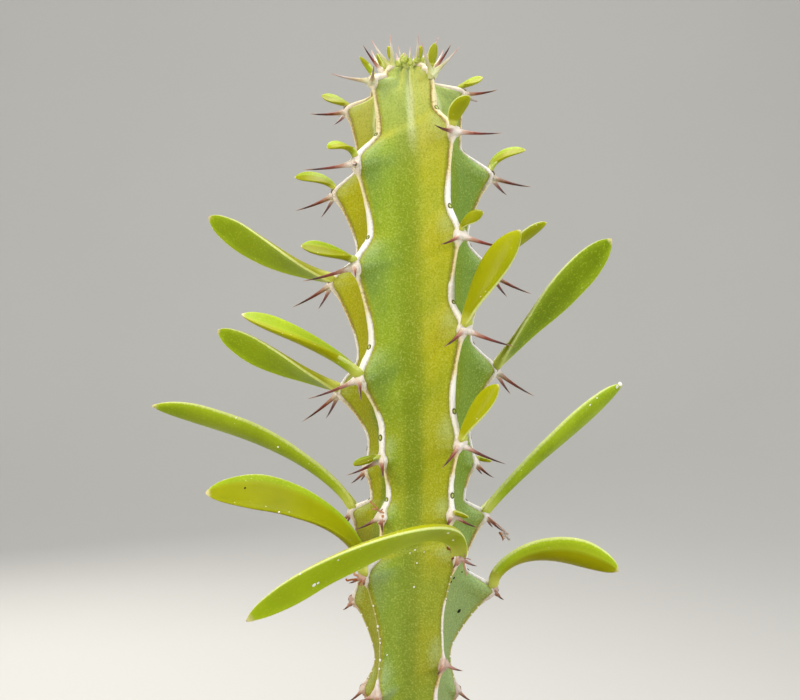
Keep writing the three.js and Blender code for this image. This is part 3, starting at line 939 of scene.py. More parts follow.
# spines
spine = {
    "sides": 8,
    # [share of the length, radius in millimetres] from the sunk root to the tip
    "rings": [[-0.16, 1.25], [-0.04, 1.0], [0.04, 0.74], [0.11, 0.55], [0.19, 0.43], [0.32, 0.35],
              [0.52, 0.26], [0.74, 0.17], [0.9, 0.09], [1.0, 0.02]],
    "bow": 0.28,  # how far its middle stands off a straight line, before it is scaled
    "youngFrom": (238, 246),
    "spread": {"front_left": 46, "front_right": 60},
    "otherSpread": 50,
    "topSpread": 34,
    "seat": (0.12, 0.45),  # how far each root sits below the tooth's tip and off its middle
    "tipThickness": 0.6,
    "length": [[84, 4], [121, 4], [139, 2.6], [147, 2.6], [157, 5], [166, 4.2], [171, 9.2], [226, 9.2],
               [239, 8.2], [247, 6.2]],
    "slope": [[84, -14], [121, -18], [145, -28], [170, -24], [205, -16], [222, -10], [232, -1], [240, 6],
              [242.5, 13], [244.3, 46], [247, 54]],
    "baseColour": "e8dcd0",
    "boneColour": "b98d78",
    "barkColour": "84382a",
    "darkColour": "38191a",
    "tipColour": "a97a5a",
    "youngColour": "c8cf7a",
    "youngTip": "d99a90",
    # small spines of the growing tip: bearing, distance from the axis, height, slope, length
    "tip": [(-30, 2.2, 246.9, 64, 3.6), (12, 1.6, 247.1, 80, 3.2), (28, 3.0, 246.8, 58, 3.4),
            (-75, 2.4, 246.9, 60, 3.4), (95, 2.2, 246.9, 66, 3.3), (160, 2.2, 246.9, 62, 3.2),
            (215, 2.4, 246.8, 58, 3.2), (-8, 3.6, 246.4, 48, 2.8)],
}


def spineMaster():
    selectNothing()
    first = spine["rings"][0]
    bpy.ops.mesh.primitive_circle_add(vertices=spine["sides"], radius=first[1], location=(0, 0, first[0]))
    master = newPiece("spine_master")
    bpy.ops.object.transform_apply(location=True)
    edit(master)

    def bowAt(at):
        return spine["bow"] * (1 - (2 * max(at, 0) - 1) ** 2)

    for (before, oldRadius), (at, radius) in zip(spine["rings"], spine["rings"][1:]):
        move = (0, bowAt(at) - bowAt(before), at - before)
        drawOut(move)
        size = radius / oldRadius
        scaleBy((size, size, 1), (0, bowAt(at), at))
    closeTip()
    done()
    bpy.ops.object.shade_smooth()
    setMark(master, "along", [v.co.z for v in master.data.vertices])
    return master


def spinesOf(rib, index, tooth):
    length = along(spine["length"], tooth["height"])
    slope = along(spine["slope"], tooth["height"]) - (rib["dip"] if tooth["height"] < 243 else 0)
    spread = spine["topSpread"] if index == 0 else spine["spread"].get(rib["name"], spine["otherSpread"])
    return [(length, slope, -spread), (length, slope, spread)]


def buildSpines(rib, master, chance):
    copies = []
    sunk, aside = spine["seat"]
    for index, tooth in enumerate(allTeeth(rib)):
        for length, slope, spread in spinesOf(rib, index, tooth):
            level, direction = outward(rib["bearing"] + spread), aim(rib["bearing"] + spread, slope)
            root = axisAt(tooth["height"]) + outward(rib["bearing"]) * (tooth["reach"] - sunk)
            root += outward(rib["bearing"] + 90) * math.copysign(aside, spread)
            stub = 1 - ease(length, 2.8, 5)
            thick = (blend(0.78, 1.0, ease(length, 3, 9)) + 0.12 * stub) * chance.uniform(0.93, 1.07) * mm
            matrix = frameMatrix(root, level.cross(upward), direction, (thick, thick, length * mm))
            copy = copyOf(master, "spine_copy", matrix)
            young = ease(tooth["height"], *spine["youngFrom"]) * chance.uniform(0.75, 1)
            copies.append(markAll(copy, young=young, tone=chance.random(), stub=stub))
    return joined(copies, f"spines_{rib['name']}")


def buildTipSpines(master, chance):
    copies = []
    for bearing, away, height, slope, length in spine["tip"]:
        level = outward(bearing)
        size = (spine["tipThickness"] * mm, spine["tipThickness"] * mm, length * mm)
        matrix = frameMatrix(axisAt(height) + level * away, level.cross(upward), aim(bearing, slope), size)
        copy = copyOf(master, "spine_copy", matrix)
        copies.append(markAll(copy, young=1, tone=chance.uniform(0.3, 1)))
    return joined(copies, "spines_tip")


def spineFinish():
    paint = Finish("spineWood")
    at, young, tone, stub = (paint.mark(name) for name in ("along", "young", "tone", "stub"))
    grain = paint.cloud(0.6, 3)
    wood = paint.ramp(at + grain.sway(0.16), (0.06, spine["baseColour"]), (0.19, spine["boneColour"]),
                      (0.38, spine["barkColour"]), (0.75, spine["darkColour"]), (0.97, spine["tipColour"]))
    dark = paint.between(tone, 0.6, 1.0) * paint.between(at, 0.1, 0.4)
    wood = paint.mix(dark * 0.6, wood, spine["darkColour"])
    wood = paint.mix(stub * paint.between(at, 0.9, 0.3) * 0.75, wood, spine["boneColour"])
    fresh = paint.ramp(at, (0.1, spine["youngColour"]), (0.6, spine["baseColour"]), (1.0, spine["youngTip"]))
    paint.body = paint.mix(young * paint.between(tone, 0.1, 0.35), wood, fresh)
    relief = paint.bump(grain, 0.05, 0.5)
    return paint.shade(rough=0.42 + grain.sway(0.2), normal=relief, gloss=0.5)


chance = random.Random(11)
spineShape = spineMaster()
woodFinish = spineFinish()
for rib in ribs:
    piece = buildSpines(rib, spineShape, chance)
    piece.data.materials.append(woodFinish)
    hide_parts(f"margin_{rib['name']}")
tipSpines = buildTipSpines(spineShape, chance)
tipSpines.data.materials.append(woodFinish)
bpy.data.objects.remove(spineShape)
print("spines done")


# lobes of the growing tip
lobes = {
    # bearing, distance from the axis, height, size
    "places": [(-58, 5.4, 246.2, 0.7), (-38, 5.0, 246.8, 0.6), (-24, 4.8, 246.3, 0.6), (-9, 4.6, 247.0, 0.6),
               (6, 4.9, 246.4, 0.6), (20, 4.8, 246.9, 0.62), (36, 4.5, 247.0, 0.66), (-14, 3.2, 247.7, 0.65),
               (72, 4.6, 246.8, 0.9), (108, 4.7, 246.7, 0.9), (150, 4.5, 246.9, 0.9), (178, 4.6, 246.8, 0.85),
               (215, 4.6, 246.8, 0.9), (252, 4.8, 246.7, 0.85), (282, 4.5, 246.9, 0.8),
               (-20, 1.9, 247.8, 0.9), (100, 1.8, 247.8, 0.9), (220, 1.8, 247.8, 0.9)],
    "green": "b2c04a",
    "pale": "d8dc90",
}


def buildLobes():
    selectNothing()
    bpy.ops.mesh.primitive_uv_sphere_add(segments=16, ring_count=10, radius=1)
    master = newPiece("lobe_master")
    edit(master)
    choose(lambda co: co.z > 0.2)
    scaleBy((0.8, 0.8, 1.25), (0, 0, 0.2))
    done()
    bpy.ops.object.shade_smooth()
    copies = []
    for bearing, away, height, size in lobes["places"]:
        place = axisAt(height) + outward(bearing) * away
        lean = (outward(bearing) * away * 0.16 + upward).normalized()
        scale = (size * mm, size * 0.75 * mm, size * 1.1 * mm)
        copies.append(copyOf(master, "lobe_copy", frameMatrix(place, outward(bearing + 90), lean, scale)))
    bpy.data.objects.remove(master)
    return joined(copies, "tip_lobes")


def lobeFinish():
    paint = Finish("tipLobes")
    grain = paint.cloud(0.5, 2)
    paint.body = paint.mix(paint.between(grain, 0.42, 0.62) * 0.7, lobes["green"], lobes["pale"])
    return paint.shade(rough=0.5, normal=paint.bump(grain, 0.1, 0.7), gloss=0.25)


lobePiece = buildLobes()
lobePiece.data.materials.append(lobeFinish())
print("tip lobes done")


# leaves
# tooth from the top, length, width, swing, turn, rise, droop, roll: as in the solids
leafRows = {
    "front_left": [
        (0, 2.6, 1.4, 0, 0, 70, 0, 0), (1, 4, 2.1, -16, 0, 54, 10, -24), (2, 6.2, 3.5, -18, -4, 78, 105, -33),
        (3, 10.4, 4.6, -24, -6, 20, 12, -50), (4, 24.6, 6.7, -33, -2, 44, 26, -32),
        (5, 5.3, 2.5, -26, 0, -16, 0, -26), (7, 36.5, 8.6, -39, -8, 96, 102, -55),
    ],
    "front_right": [
        (0, 2.4, 1.3, 0, 0, 78, 0, 0), (1, 4.2, 2, -8, 0, 82, 12, 0), (2, 6.2, 3.9, 12, 6, 96, 66, -14),
        (3, 5.5, 3.2, 33, 15, 96, 92, 70), (4, 20.6, 7.1, 33, 19, 86, 40, 72),
        (5, 12.9, 5.1, 29, 8, 84, 43, 70), (6, 2.9, 2, 25, 0, -14, 0, -24),
        (7, 56, 7.5, -47, -86, 57, 96, 58),
    ],
    "side_right": [
        (1, 5, 2.9, -9, 0, 10, -20, 43), (2, 8.9, 3.3, -3, -4, 88, 86, 44),
        (3, 15.2, 4.3, 4, -6, 54, 22, -41), (4, 34.6, 8.5, -14, -3, 55, 11, -63),
        (5, 2.8, 1.8, -7, 0, -14, 0, 0), (6, 40, 7, -7, 20, 50, 16, -57),
        (7, 28.6, 7.7, -21, 1, 89, 121, -62),
    ],
    "side_left": [
        (0, 2.6, 1.4, 0, 0, 66, 0, 0), (1, 5.8, 2.9, 7, 0, 14, -12, -50), (2, 8.9, 3.3, 5, 2, 59, 63, -55),
        (3, 29, 7.9, 5, 8, 13, -20, 58), (4, 27.6, 7.4, 9, 2, 20, -7, 61), (6, 46.4, 7.4, 12, 12, 61, 51, 42),
    ],
    "rear": [
        (0, 2.6, 1.4, 0, 0, 70, 0, 0), (1, 6, 2.6, 0, 0, 52, 34, -20), (2, 9.2, 3.2, -4, 0, 66, 58, 22),
        (3, 19, 5.6, 5, 6, 52, 24, -24), (4, 29, 7.4, -6, -5, 56, 34, 30), (5, 4.8, 2.4, 0, 0, 22, 16, 0),
        (6, 32, 7.2, 6, 8, 68, 64, -30), (7, 34, 7.6, -8, -10, 84, 92, 34),
    ],
}
leaf = {
    "slender": [[0, 0.4], [0.1, 0.5], [0.25, 0.7], [0.45, 0.93], [0.6, 1], [0.74, 0.95], [0.85, 0.76],
                [0.94, 0.46], [1, 0.06]],
    "plump": [[0, 0.43], [0.07, 0.6], [0.18, 0.79], [0.34, 0.96], [0.5, 1], [0.68, 0.92], [0.82, 0.72],
              [0.93, 0.4], [1, 0.06]],
    "plumpLeaves": [("front_right", 4), ("front_right", 5)],  # and all the short ones
    "shortest": 12,
    "thick": (0.32, 1, 2.1),  # share of the width, and the limits in millimetres
    "depth": [[0, 1], [0.5, 0.95], [0.8, 0.7], [1, 0.3]],
    "rings": [-0.06, -0.04, -0.02, 0.0, 0.03, 0.07, 0.11, 0.16, 0.21, 0.26, 0.31, 0.36, 0.41, 0.46, 0.51,
              0.56, 0.61, 0.66, 0.71, 0.76, 0.81, 0.855, 0.9, 0.935, 0.96, 0.98, 0.992, 1.0],
    "sides": 24,
    "bend": 0.45,
    "seatShare": 0.5,
    "lift": 0.45,
    "clear": 1.4275,
    "capDepth": 0.06,
    "chancePaintedLight": (0.15, 0.45),
    "youngFrom": (228, 246),
    # painted light: how brightly lit each leaf is painted, and across how much of its width the upper face
    # seems to fold over
    "paintedLight": {"front_left_5": 0.5, "front_left_8": 0.3, "front_right_5": 0.5, "front_right_6": 0.7,
              "front_right_8": 0.65, "side_right_5": 0.05, "side_right_7": 0.4, "side_right_8": 0.5,
              "side_left_4": 0.4, "side_left_5": 0.4, "side_left_7": 0.45},
    "folds": {"front_left_2": 0.2, "front_left_3": 0.2, "front_left_4": 0.3, "front_left_5": -0.6,
              "front_left_6": 0.3, "front_left_8": 0.6, "side_right_2": 0.2, "side_right_3": 0.3,
              "side_right_7": -1.2, "side_right_8": 0.5, "side_left_2": 0.2, "side_left_3": 0.2,
              "side_left_7": -1.2},
    # leaves twisted so far that their other face is the one to be seen
    "twisted": {"side_left_4", "side_left_5", "side_right_5", "front_right_4", "front_right_5",
                "front_right_6", "front_right_8"},
    # painted light: shaded and lit copies of the upper and under greens
    "upperShaded": "6f8404",
    "upperLit": "b0c61c",
    "underShaded": "7c8002",
    "underLit": "b4b60a",
    "paleGreen": "b2c630",
    "rimColour": "e8ecae",
    "rootColour": "d0d468",
    "tipColour": "dccca2",
}


def bladeDepth(at):
    return along(leaf["depth"], at) * blend(1, 0.5, ease(at, 0.9, 1))


def leafMaster(widths):
    # a straight blade: a circle flattened on top, drawn out ring by ring, one unit long and two wide
    selectNothing()
    bpy.ops.mesh.primitive_circle_add(vertices=leaf["sides"], radius=1, location=(0, 0, leaf["rings"][0]),
                                      fill_type="NGON")
    master = newPiece("leaf_master")
    bpy.ops.object.transform_apply(location=True)
    edit(master)
    # the upper face: nearly flat, and a little hollow along its middle
    choose(lambda co: co.y > 1e-4)
    scaleBy((1, 0.12, 1))
    choose(lambda co: co.y > 1e-4 and abs(co.x) < 0.72)
    bpy.ops.transform.translate(value=(0, -0.075, 0))
    choose(lambda co: co.y > -0.2 and abs(co.x) < 0.4 and co.y < 0.2)
    bpy.ops.transform.translate(value=(0, -0.02, 0))
    choose(lambda co: co.y < -0.1)
    scaleBy((1, 0.94, 1))
    selectAll()
    before, width, depth = leaf["rings"][0], 1, 1
    bpy.ops.transform.translate(value=(0, leaf["lift"], 0))
    scaleBy((widths[0][1] * 0.4, 0.4, 1), (0, 0, before))
    width, depth = widths[0][1] * 0.4, 0.4
    for at in leaf["rings"][1:]:
        cap = math.sqrt(max(1 - (min(at, 0) / leaf["capDepth"]) ** 2, 0.16))  # rounded at the root
        newWidth = along(widths, at) * cap
        newDepth = bladeDepth(at) * cap
        drawOut((0, 0, at - before))
        scaleBy((newWidth / width, newDepth / depth, 1), (0, 0, at))
        before, width, depth = at, newWidth, newDepth
    closeTip()
    bpy.ops.transform.translate(value=(0, -leaf["lift"], 0))
    done()
    bpy.ops.object.shade_smooth()
    vertices = master.data.vertices
    wide = [max(along(widths, v.co.z), 0.02) for v in vertices]
    sheet = [(v.co.y + leaf["lift"]) / bladeDepth(v.co.z) - leaf["lift"] for v in vertices]
    setMark(master, "along", [max(v.co.z, 0) for v in vertices])
    setMark(master, "side", [min(abs(v.co.x) / w, 1) for v, w in zip(vertices, wide)])
    setMark(master, "upper", [ease(y, -0.16, -0.1) for y in sheet])
    return master


def leafSeat(k, toothIndex):
    # where a leaf grows: on the shoulder just above its tooth, as in the solids
    rib = ribs[k]
    teeth = allTeeth(rib)
    tooth = teeth[toothIndex]
    below = {"height": tooth["height"], "reach": tooth["reach"] - growth["seatDrop"]}
    if toothIndex == 0:
        turn = 0.4 * math.pi / 2
        height = tooth["height"] + (growth["apexHeight"] - tooth["height"]) * math.sin(turn)
        above = {"height": height, "reach": max(0.5, below["reach"] * math.cos(turn))}
        share = leaf["seatShare"] / 3
    else:
        upper = teeth[toothIndex - 1]
        span = upper["height"] - tooth["height"]
        body = along(growth["bodyReach"], upper["height"] - span * growth["valleyAt"]) + rib["fill"]
        hollow = upper["hollow"] or min(body, upper["reach"] - 0.3, tooth["reach"])
        reach = hollow + (tooth["reach"] - hollow) * toothShare(0.9) - growth["seatDrop"]
        down = shifted(0.9, upper["valley"] or growth["valleyAt"])
        above = {"height": upper["height"] - span * down, "reach": reach}
        share = leaf["seatShare"]
    point = axisAt(blend(below["height"], above["height"], share))
    point += outward(rib["bearing"]) * blend(below["reach"], above["reach"], share)
    rise = above["height"] - below["height"]
    run = above["reach"] - below["reach"]
    normal = (outward(rib["bearing"]) * rise - upward * run).normalized()
    return point, normal


def growLeaf(master, ribName, row, chance):
    tooth, length, width, swing, turn, rise, droop, roll = row
    key = f"{ribName}_{tooth + 1}"
    k = next(i for i, rib in enumerate(ribs) if rib["name"] == ribName)
    bearing = ribs[k]["bearing"] + swing
    seat, normal = leafSeat(k, tooth)
    thickShare, thinnest, thickest = leaf["thick"]
    deepest = min(max(width * thickShare, thinnest), thickest)
    fine = 36 if length > leaf["shortest"] else 24  # steps along the midline

    def heading(part):
        return aim(bearing + turn * part, rise - droop * part ** leaf["bend"])

    midline = [seat + normal * leaf["clear"]]
    for i in range(fine):
        midline.append(midline[-1] + heading(i / fine) * (length / fine))
    piece = copyOf(master, f"leaf_{key}_blade")
    root = heading(0)
    rootDepth = 0.1 * width + 0.25
    seed = chance.uniform(0, 100)
    fold = leaf["folds"].get(key)
    side = 1 if key in leaf["twisted"] else -1
    sheet = [mark.value for mark in piece.data.attributes["upper"].data]
    ridge = [0] * len(sheet)
    for vertex in piece.data.vertices:
        x, y, part = vertex.co
        safe = max(part, 0)
        direction = heading(safe)
        spot = min(safe * fine, fine - 1e-6)
        point = midline[int(spot)].lerp(midline[int(spot) + 1], spot % 1)
        level = outward(bearing + turn * safe + 90)
        face = level.cross(direction).normalized()
        tip = Matrix.Rotation(math.radians(roll * safe ** 0.5), 3, direction)
        level, face = tip @ level, tip @ face
        ripple = noise.noise(Vector((seed, x * 0.7, part * length * 0.16))) * 0.07 * width / 7
        point += level * (x * width / 2 * (1 + ripple))
        point += face * (side * ((y + leaf["lift"]) * deepest + ripple * 1.5))
        if part < 0:
            point -= (root + normal * 0.6) * (rootDepth * -part / leaf["capDepth"])
        if fold is not None:
            upwards = math.copysign(1, level.z if abs(level.z) > 0.2 else level.x)
            across = x / max(along(leaf["slender"], safe), 0.1) * upwards
            sheet[vertex.index] = ease(across, fold - 0.05, fold + 0.05)
            # the fold's ridge, which the finish also paints with a highlight
            ridge[vertex.index] = bell(across - fold, 0.09) * ease(part, 0.1, 0.3)
        vertex.co = point * mm
    setMark(piece, "upper", sheet)
    setMark(piece, "ridge", ridge)
    # painted light: the tone mark says how brightly lit the leaf is painted
    markAll(piece, tone=leaf["paintedLight"].get(key, chance.uniform(*leaf["chancePaintedLight"])),
            young=ease(seat.z, *leaf["youngFrom"]))
    smoother(piece)
    tidyMesh(piece, 0.000002)
    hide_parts(f"leaf_{key}")
    return piece


def leafFinish():
    paint = Finish("leafFlesh")
    names = ("along", "side", "upper", "tone", "ridge", "young")
    at, side, upper, tone, ridge, young = (paint.mark(name) for name in names)
    broad = paint.cloud(8, 3)
    grain = paint.cloud(0.45, 2)
    specks = paint.cells(1.6)
    # painted light and shade: each leaf's lit level, with blotches, picks between shaded and lit greens
    lit = tone + broad.sway(0.5)
    above = paint.ramp(lit, (0.05, leaf["upperShaded"]), (0.95, leaf["upperLit"]))
    above = paint.mix(paint.between(side + broad.sway(0.6), 0.3, 1.0) * 0.35, above, leaf["paleGreen"])
    above = paint.mix(paint.between(grain, 0.53, 0.68) * 0.4, above, leaf["paleGreen"])
    under = paint.ramp(lit, (0.05, leaf["underShaded"]), (0.95, leaf["underLit"]))
    paint.body = paint.mix(upper, under, above)
    # a pale line along the upper face's edges: partly the leaf's pale margin, partly a painted highlight
    rim = paint.between(side + grain.sway(0.1), 0.91, 1.0) * paint.between(upper, 0.0, 0.25)
    paint.coat(rim * 0.55, leaf["rimColour"])
    # painted highlight: a pale line along the fold's ridge
    paint.coat(ridge * 0.5, leaf["paleGreen"])
    paint.coat(paint.between(at + grain.sway(0.05), 0.13, 0.0) * 0.6, leaf["rootColour"])
    paint.coat(young * 0.12, leaf["rootColour"])
    paint.coat(paint.between(at + grain.sway(0.02), 0.965, 0.995) * 0.8, leaf["tipColour"])
    dots = paint.between(specks, 0.12, 0.06) * paint.between(side, 0.4, 0.9)
    paint.coat(dots * 0.6, leaf["rimColour"])
    relief = paint.bump(broad, 0.35, 0.4)
    relief = paint.bump(grain + ridge * 3, 0.04, 0.5, relief)
    return paint.shade(rough=0.42 + grain.sway(0.16), normal=relief, flesh=0.2,
                       fleshRadius=(0.9, 1.0, 0.1), fleshScale=0.0025, gloss=0.1)


chance = random.Random(5)
slenderBlade, plumpBlade = leafMaster(leaf["slender"]), leafMaster(leaf["plump"])
fleshFinish = leafFinish()
for ribName, rows in leafRows.items():
    for row in rows:
        plump = row[1] < leaf["shortest"] or (ribName, row[0]) in leaf["plumpLeaves"]
        piece = growLeaf(plumpBlade if plump else slenderBlade, ribName, row, chance)
        piece.data.materials.append(fleshFinish)
for blade in (slenderBlade, plumpBlade):
    bpy.data.objects.remove(blade)
print("leaves done")


# withered remains and specks
remains = {
    # piece, picture point it grows from, bearing, slope, how far out it starts, length, thickness, tone
    "shreds": [
        ("margin_front_left_horn", [
            (380, 503, -80, 30, 0, 3.6, 0.9, 0.5), (381, 507, -84, 48, 1.6, 3.4, 0.8, 0.4),
            (382, 510, -110, -44, 0, 4.2, 0.5, 0.3), (383, 516, -60, -70, 0, 3.0, 1.2, 0.45),
            (384, 521, -70, -10, 0, 2.2, 1.4, 0.6), (361, 578, -95, 24, 0, 3.0, 1.3, 0.5),
            (360, 582, -104, -34, 0, 3.2, 1.1, 0.35), (360, 579, -70, -5, 0.8, 3.2, 1.0, 0.3),
            (361, 585, -60, -60, 0.2, 2.4, 1.3, 0.45)]),
        ("margin_front_right_horn", [
            (457, 551, -70, 14, 0, 3.2, 1.2, 0.2), (458, 556, -96, -16, 0, 2.6, 1.3, 0.1),
            (456, 547, -50, 44, 0, 2.6, 1.1, 0.35), (460, 558, -40, -64, 0, 2.6, 1.2, 0.55),
            (466, 555, 60, 10, 0, 2.4, 1.4, 0.8), (468, 558, 80, -2, 0, 3.0, 0.6, 0.7),
            (468, 558, 74, -72, 0.6, 4.6, 0.6, 0.6)]),
        ("margin_side_right_horn", [
            (488, 517, 82, -36, 0, 6.6, 0.34, 0.65), (489, 518, 84, -38, 4.4, 2.8, 1.2, 0.9),
            (489, 518, 70, -47, 4.6, 2.8, 1.1, 0.2), (489, 518, 88, -44, 5.2, 3.0, 1.2, 1.0),
            (489, 518, 60, -40, 5.0, 2.4, 1.0, 0.85)]),
        ("margin_side_left_horn", [
            (354, 604, -100, -8, 0, 2.6, 0.7, 0.6)]),
        ("margin_side_right_horn", [
            (495, 590, 80, -40, 0, 2.8, 0.7, 0.65)]),
    ],
    "colours": [(0.0, "4a2c16"), (0.3, "96562a"), (0.5, "c0906a"), (0.7, "bb8a80"), (1.0, "b8b0a8")],
    # piece, picture point, size, tone from dark to white
    "specks": [
        ("stem_flesh", [
            (415, 550, 0.18, 0.9), (417, 563, 0.2, 0.85), (410, 553, 0.14, 0.85), (414, 587, 0.24, 0.75),
            (387, 655, 0.16, 1), (424, 552, 0.13, 0.9), (459, 611, 0.5, 0), (454, 578, 0.28, 0),
            (446, 600, 0.34, 0), (448, 590, 0.3, 0), (451, 582, 0.3, 0), (462, 572, 0.22, 0)]),
        ("leaf_front_left_8_blade", [
            (245, 488, 0.26, 0)]),
        ("leaf_front_right_8_blade", [
            (314, 585, 0.42, 1), (318, 583, 0.3, 1), (300, 574, 0.2, 1), (338, 560, 0.2, 1),
            (448, 533, 0.3, 1), (453, 540, 0.26, 1)]),
        ("leaf_side_left_7_blade", [
            (278, 447, 0.26, 1), (236, 418, 0.2, 1)]),
        ("leaf_side_right_7_blade", [
            (620, 384, 0.6, 0.85), (617, 387, 0.45, 0.7), (590, 405, 0.24, 1), (597, 398, 0.2, 1)]),
        ("leaf_front_left_8_blade", [
            (279, 512, 0.2, 1)]),
    ],
}


def shredMaster():
    # a dried strand: a small ring drawn out along a curl
    selectNothing()
    bpy.ops.mesh.primitive_circle_add(vertices=7, radius=0.09, fill_type="NGON")
    master = newPiece("shred_master")
    edit(master)
    middle = Vector((0, 0, 0))
    for move, size in [((0.02, 0, 0.2), 0.9), ((0.05, 0.02, 0.18), 0.75), ((-0.02, 0.03, 0.15), 1.2),
                       ((0.06, 0.05, 0.12), 0.8), ((0.07, 0.03, 0.04), 1.1), ((0.02, -0.05, -0.08), 0.7),
                       ((-0.03, -0.03, -0.05), 0.5)]:
        drawOut(move)
        middle += Vector(move)
        scaleBy((size, size, size), middle)
    closeTip()
    bpy.ops.transform.vertex_random(offset=0.012, seed=8)
    done()
    smoother(master)
    bpy.ops.object.shade_smooth()
    return master


def remainsFinish():
    paint = Finish("witheredBits")
    grain = paint.cloud(0.4, 3)
    paint.body = paint.ramp(paint.mark("tone") + grain.sway(0.35), *remains["colours"])
    return paint.shade(rough=0.75, normal=paint.bump(grain, 0.1, 0.8), gloss=0.2)


def speckFinish():
    paint = Finish("specks")
    grain = paint.cloud(0.3, 2)
    paint.body = paint.ramp(paint.mark("tone") - grain.sway(0.2), (0.1, "2a2412"), (0.9, "f4f4ec"))
    return paint.shade(rough=0.7, normal=paint.bump(grain, 0.05, 0.6), gloss=0.2)


shred = shredMaster()
shreds = []
for name, rows in remains["shreds"]:
    for u, v, bearing, slope, start, length, thick, tone in rows:
        place = spotOn(bpy.data.objects[name], u, v)[0]
        way = aim(bearing, slope)
        turned = outward(bearing).cross(upward).lerp(upward, 0.5 * len(shreds) % 1)
        scale = (length * thick * mm, length * thick * mm, length * mm)
        matrix = frameMatrix(place + way * (start - 0.3), turned, way, scale)
        shreds.append(markAll(copyOf(shred, "shred_copy", matrix), tone=tone))
remainsPiece = joined(shreds, "withered_remains")
remainsPiece.data.materials.append(remainsFinish())
bpy.data.objects.remove(shred)
speck = pebble("speck_master", (1, 0.75, 0.4), 0.12, 2)
specks = []
for name, rows in remains["specks"]:
    for u, v, size, tone in rows:
        place, normal = spotOn(bpy.data.objects[name], u, v)
        matrix = frameMatrix(place, normal.orthogonal(), normal, [size * mm] * 3)
        specks.append(markAll(copyOf(speck, "speck_copy", matrix), tone=tone))
speckPiece = joined(specks, "surface_specks")
speckPiece.data.materials.append(speckFinish())
bpy.data.objects.remove(speck)
print("remains and specks done")


# pot
pot = {
    "sides": 128,
    # [radius, height] from the drain hole's lower edge round the outside, over the rim and down the inside
    "profile": [
        [6.5, 0.4], [6.9, 0.0], [30.0, 0.0], [33.6, 0.0], [34.5, 0.25], [35.0, 0.9], [35.4, 2.5],
        [37.3, 12.0], [40.3, 27.0], [43.6, 43.0], [46.5, 58.0], [47.7, 64.2],
        [48.0, 65.3], [48.5, 66.0], [50.0, 66.15],
        [52.6, 66.05], [53.5, 66.3], [53.85, 67.0], [54.1, 71.0], [54.55, 79.0], [54.95, 85.2], [54.9, 86.6],
        [54.3, 87.6], [53.2, 88.0], [50.4, 88.0], [49.3, 87.7], [48.5, 86.8], [48.1, 85.6], [46.5, 78.0],
        [44.3, 68.0], [43.6, 66.0], [30.4, 7.2], [29.4, 6.2], [28.0, 6.0], [6.9, 6.0], [6.5, 5.6],
    ],
    "clayColour": "b9694a",
    "clayPale": "cf8c6c",
    "clayDark": "8e4a33",
    "limeColour": "e3d3c2",
}


def drawProfile(profile, sides, name, closed):
    # a circle drawn out ring by ring along a profile in millimetres
    selectNothing()
    radius, height = profile[0]
    bpy.ops.mesh.primitive_circle_add(vertices=sides, radius=radius * mm, location=(0, 0, height * mm))
    piece = newPiece(name)
    bpy.ops.object.transform_apply(location=True)
    edit(piece)
    path = profile[1:] + ([profile[0]] if closed else [])
    for newRadius, newHeight in path:
        drawOut((0, 0, (newHeight - height) * mm))
        size = newRadius / radius
        scaleBy((size, size, 1), (0, 0, newHeight * mm))
        radius, height = newRadius, newHeight
    if not closed:
        bpy.ops.mesh.merge(type="CENTER")
    done()
    return piece


def buildPot():
    piece = drawProfile(pot["profile"], pot["sides"], "pot_clay", True)
    tidyMesh(piece)
    smoother(piece)
    for vertex in piece.data.vertices:
        # the slight unevenness of a thrown pot, level at the foot
        co = vertex.co
        away = Vector((co.x, co.y, 0)).normalized()
        rings = math.sin(co.z / mm * 1.9) * 0.05 * ease(co.z, 0.004, 0.012)
        swell = noise.noise(co * 28) * 0.16 * ease(co.z, 0.002, 0.02)
        vertex.co = co + away * (rings + swell) * mm
    return piece


def potFinish():
    paint = Finish("potClay")
    blotch = paint.cloud(26, 4)
    patch = paint.cloud(9, 4, (1, 1, 1.5))
    grain = paint.cloud(0.9, 3)
    grit = paint.cells(1.3)
    height = paint.height()
    paint.body = paint.mix(paint.between(blotch, 0.35, 0.68), pot["clayColour"], pot["clayPale"])
    damp = paint.between(height + blotch.sway(30), 50, 5)
    paint.coat(damp * 0.6, pot["clayDark"])
    # lime comes out of the clay in patches, most round the rim and the foot
    rimLime = paint.between(height, 55, 83) * 0.1 + paint.between(height, 20, 0) * 0.08
    lime = paint.between(patch + rimLime + grain.sway(0.3), 0.58, 0.82)
    paint.coat(lime * 0.42, pot["limeColour"])
    paint.coat(paint.between(grit, 0.2, 0.08) * 0.5, pot["clayDark"])
    paint.coat(paint.between(grain, 0.5, 0.8) * 0.25, pot["clayPale"])
    relief = paint.bump(blotch, 0.8, 0.4)
    relief = paint.bump(grain - paint.between(grit, 0.22, 0.1) * 0.8, 0.12, 0.7, relief)
    return paint.shade(rough=0.82 + grain.sway(0.2), normal=relief, gloss=0.25)


potPiece = buildPot()
potPiece.data.materials.append(potFinish())
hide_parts("pot")
print("pot done")


# soil
soil = {
    "profile": [
        [0.6, 74.0], [9.0, 75.2], [9.9, 76.2], [11.5, 76.3], [14, 76.1], [17, 76.0], [20, 75.9], [23, 75.8],
        [26, 75.7], [29, 75.6], [32, 75.5], [35, 75.35], [38, 75.15], [41, 74.95], [43, 74.85], [44.6, 74.8],
        [45.3, 74.4], [45.2, 70.0], [30, 8.0], [29, 6.4], [10, 6.35],
    ],
    "lumps": 0.75,
    "bedColour": "3c2d20",
    "bedPale": "5c4733",
    "grains": 1500,
    "heaped": 170,  # of them lie round the stem, so that the soil closes on it
    "heap": (9.6, 2.8),
    "spread": (11.5, 44.2),
    "wall": 44.6,
    "top": 76.3,
    "fall": 1.5,
    "grainTypes": ["8a7a66", "4a3524", "b9a78d", "2c211a", "77563a", "d0c6b4"],
}


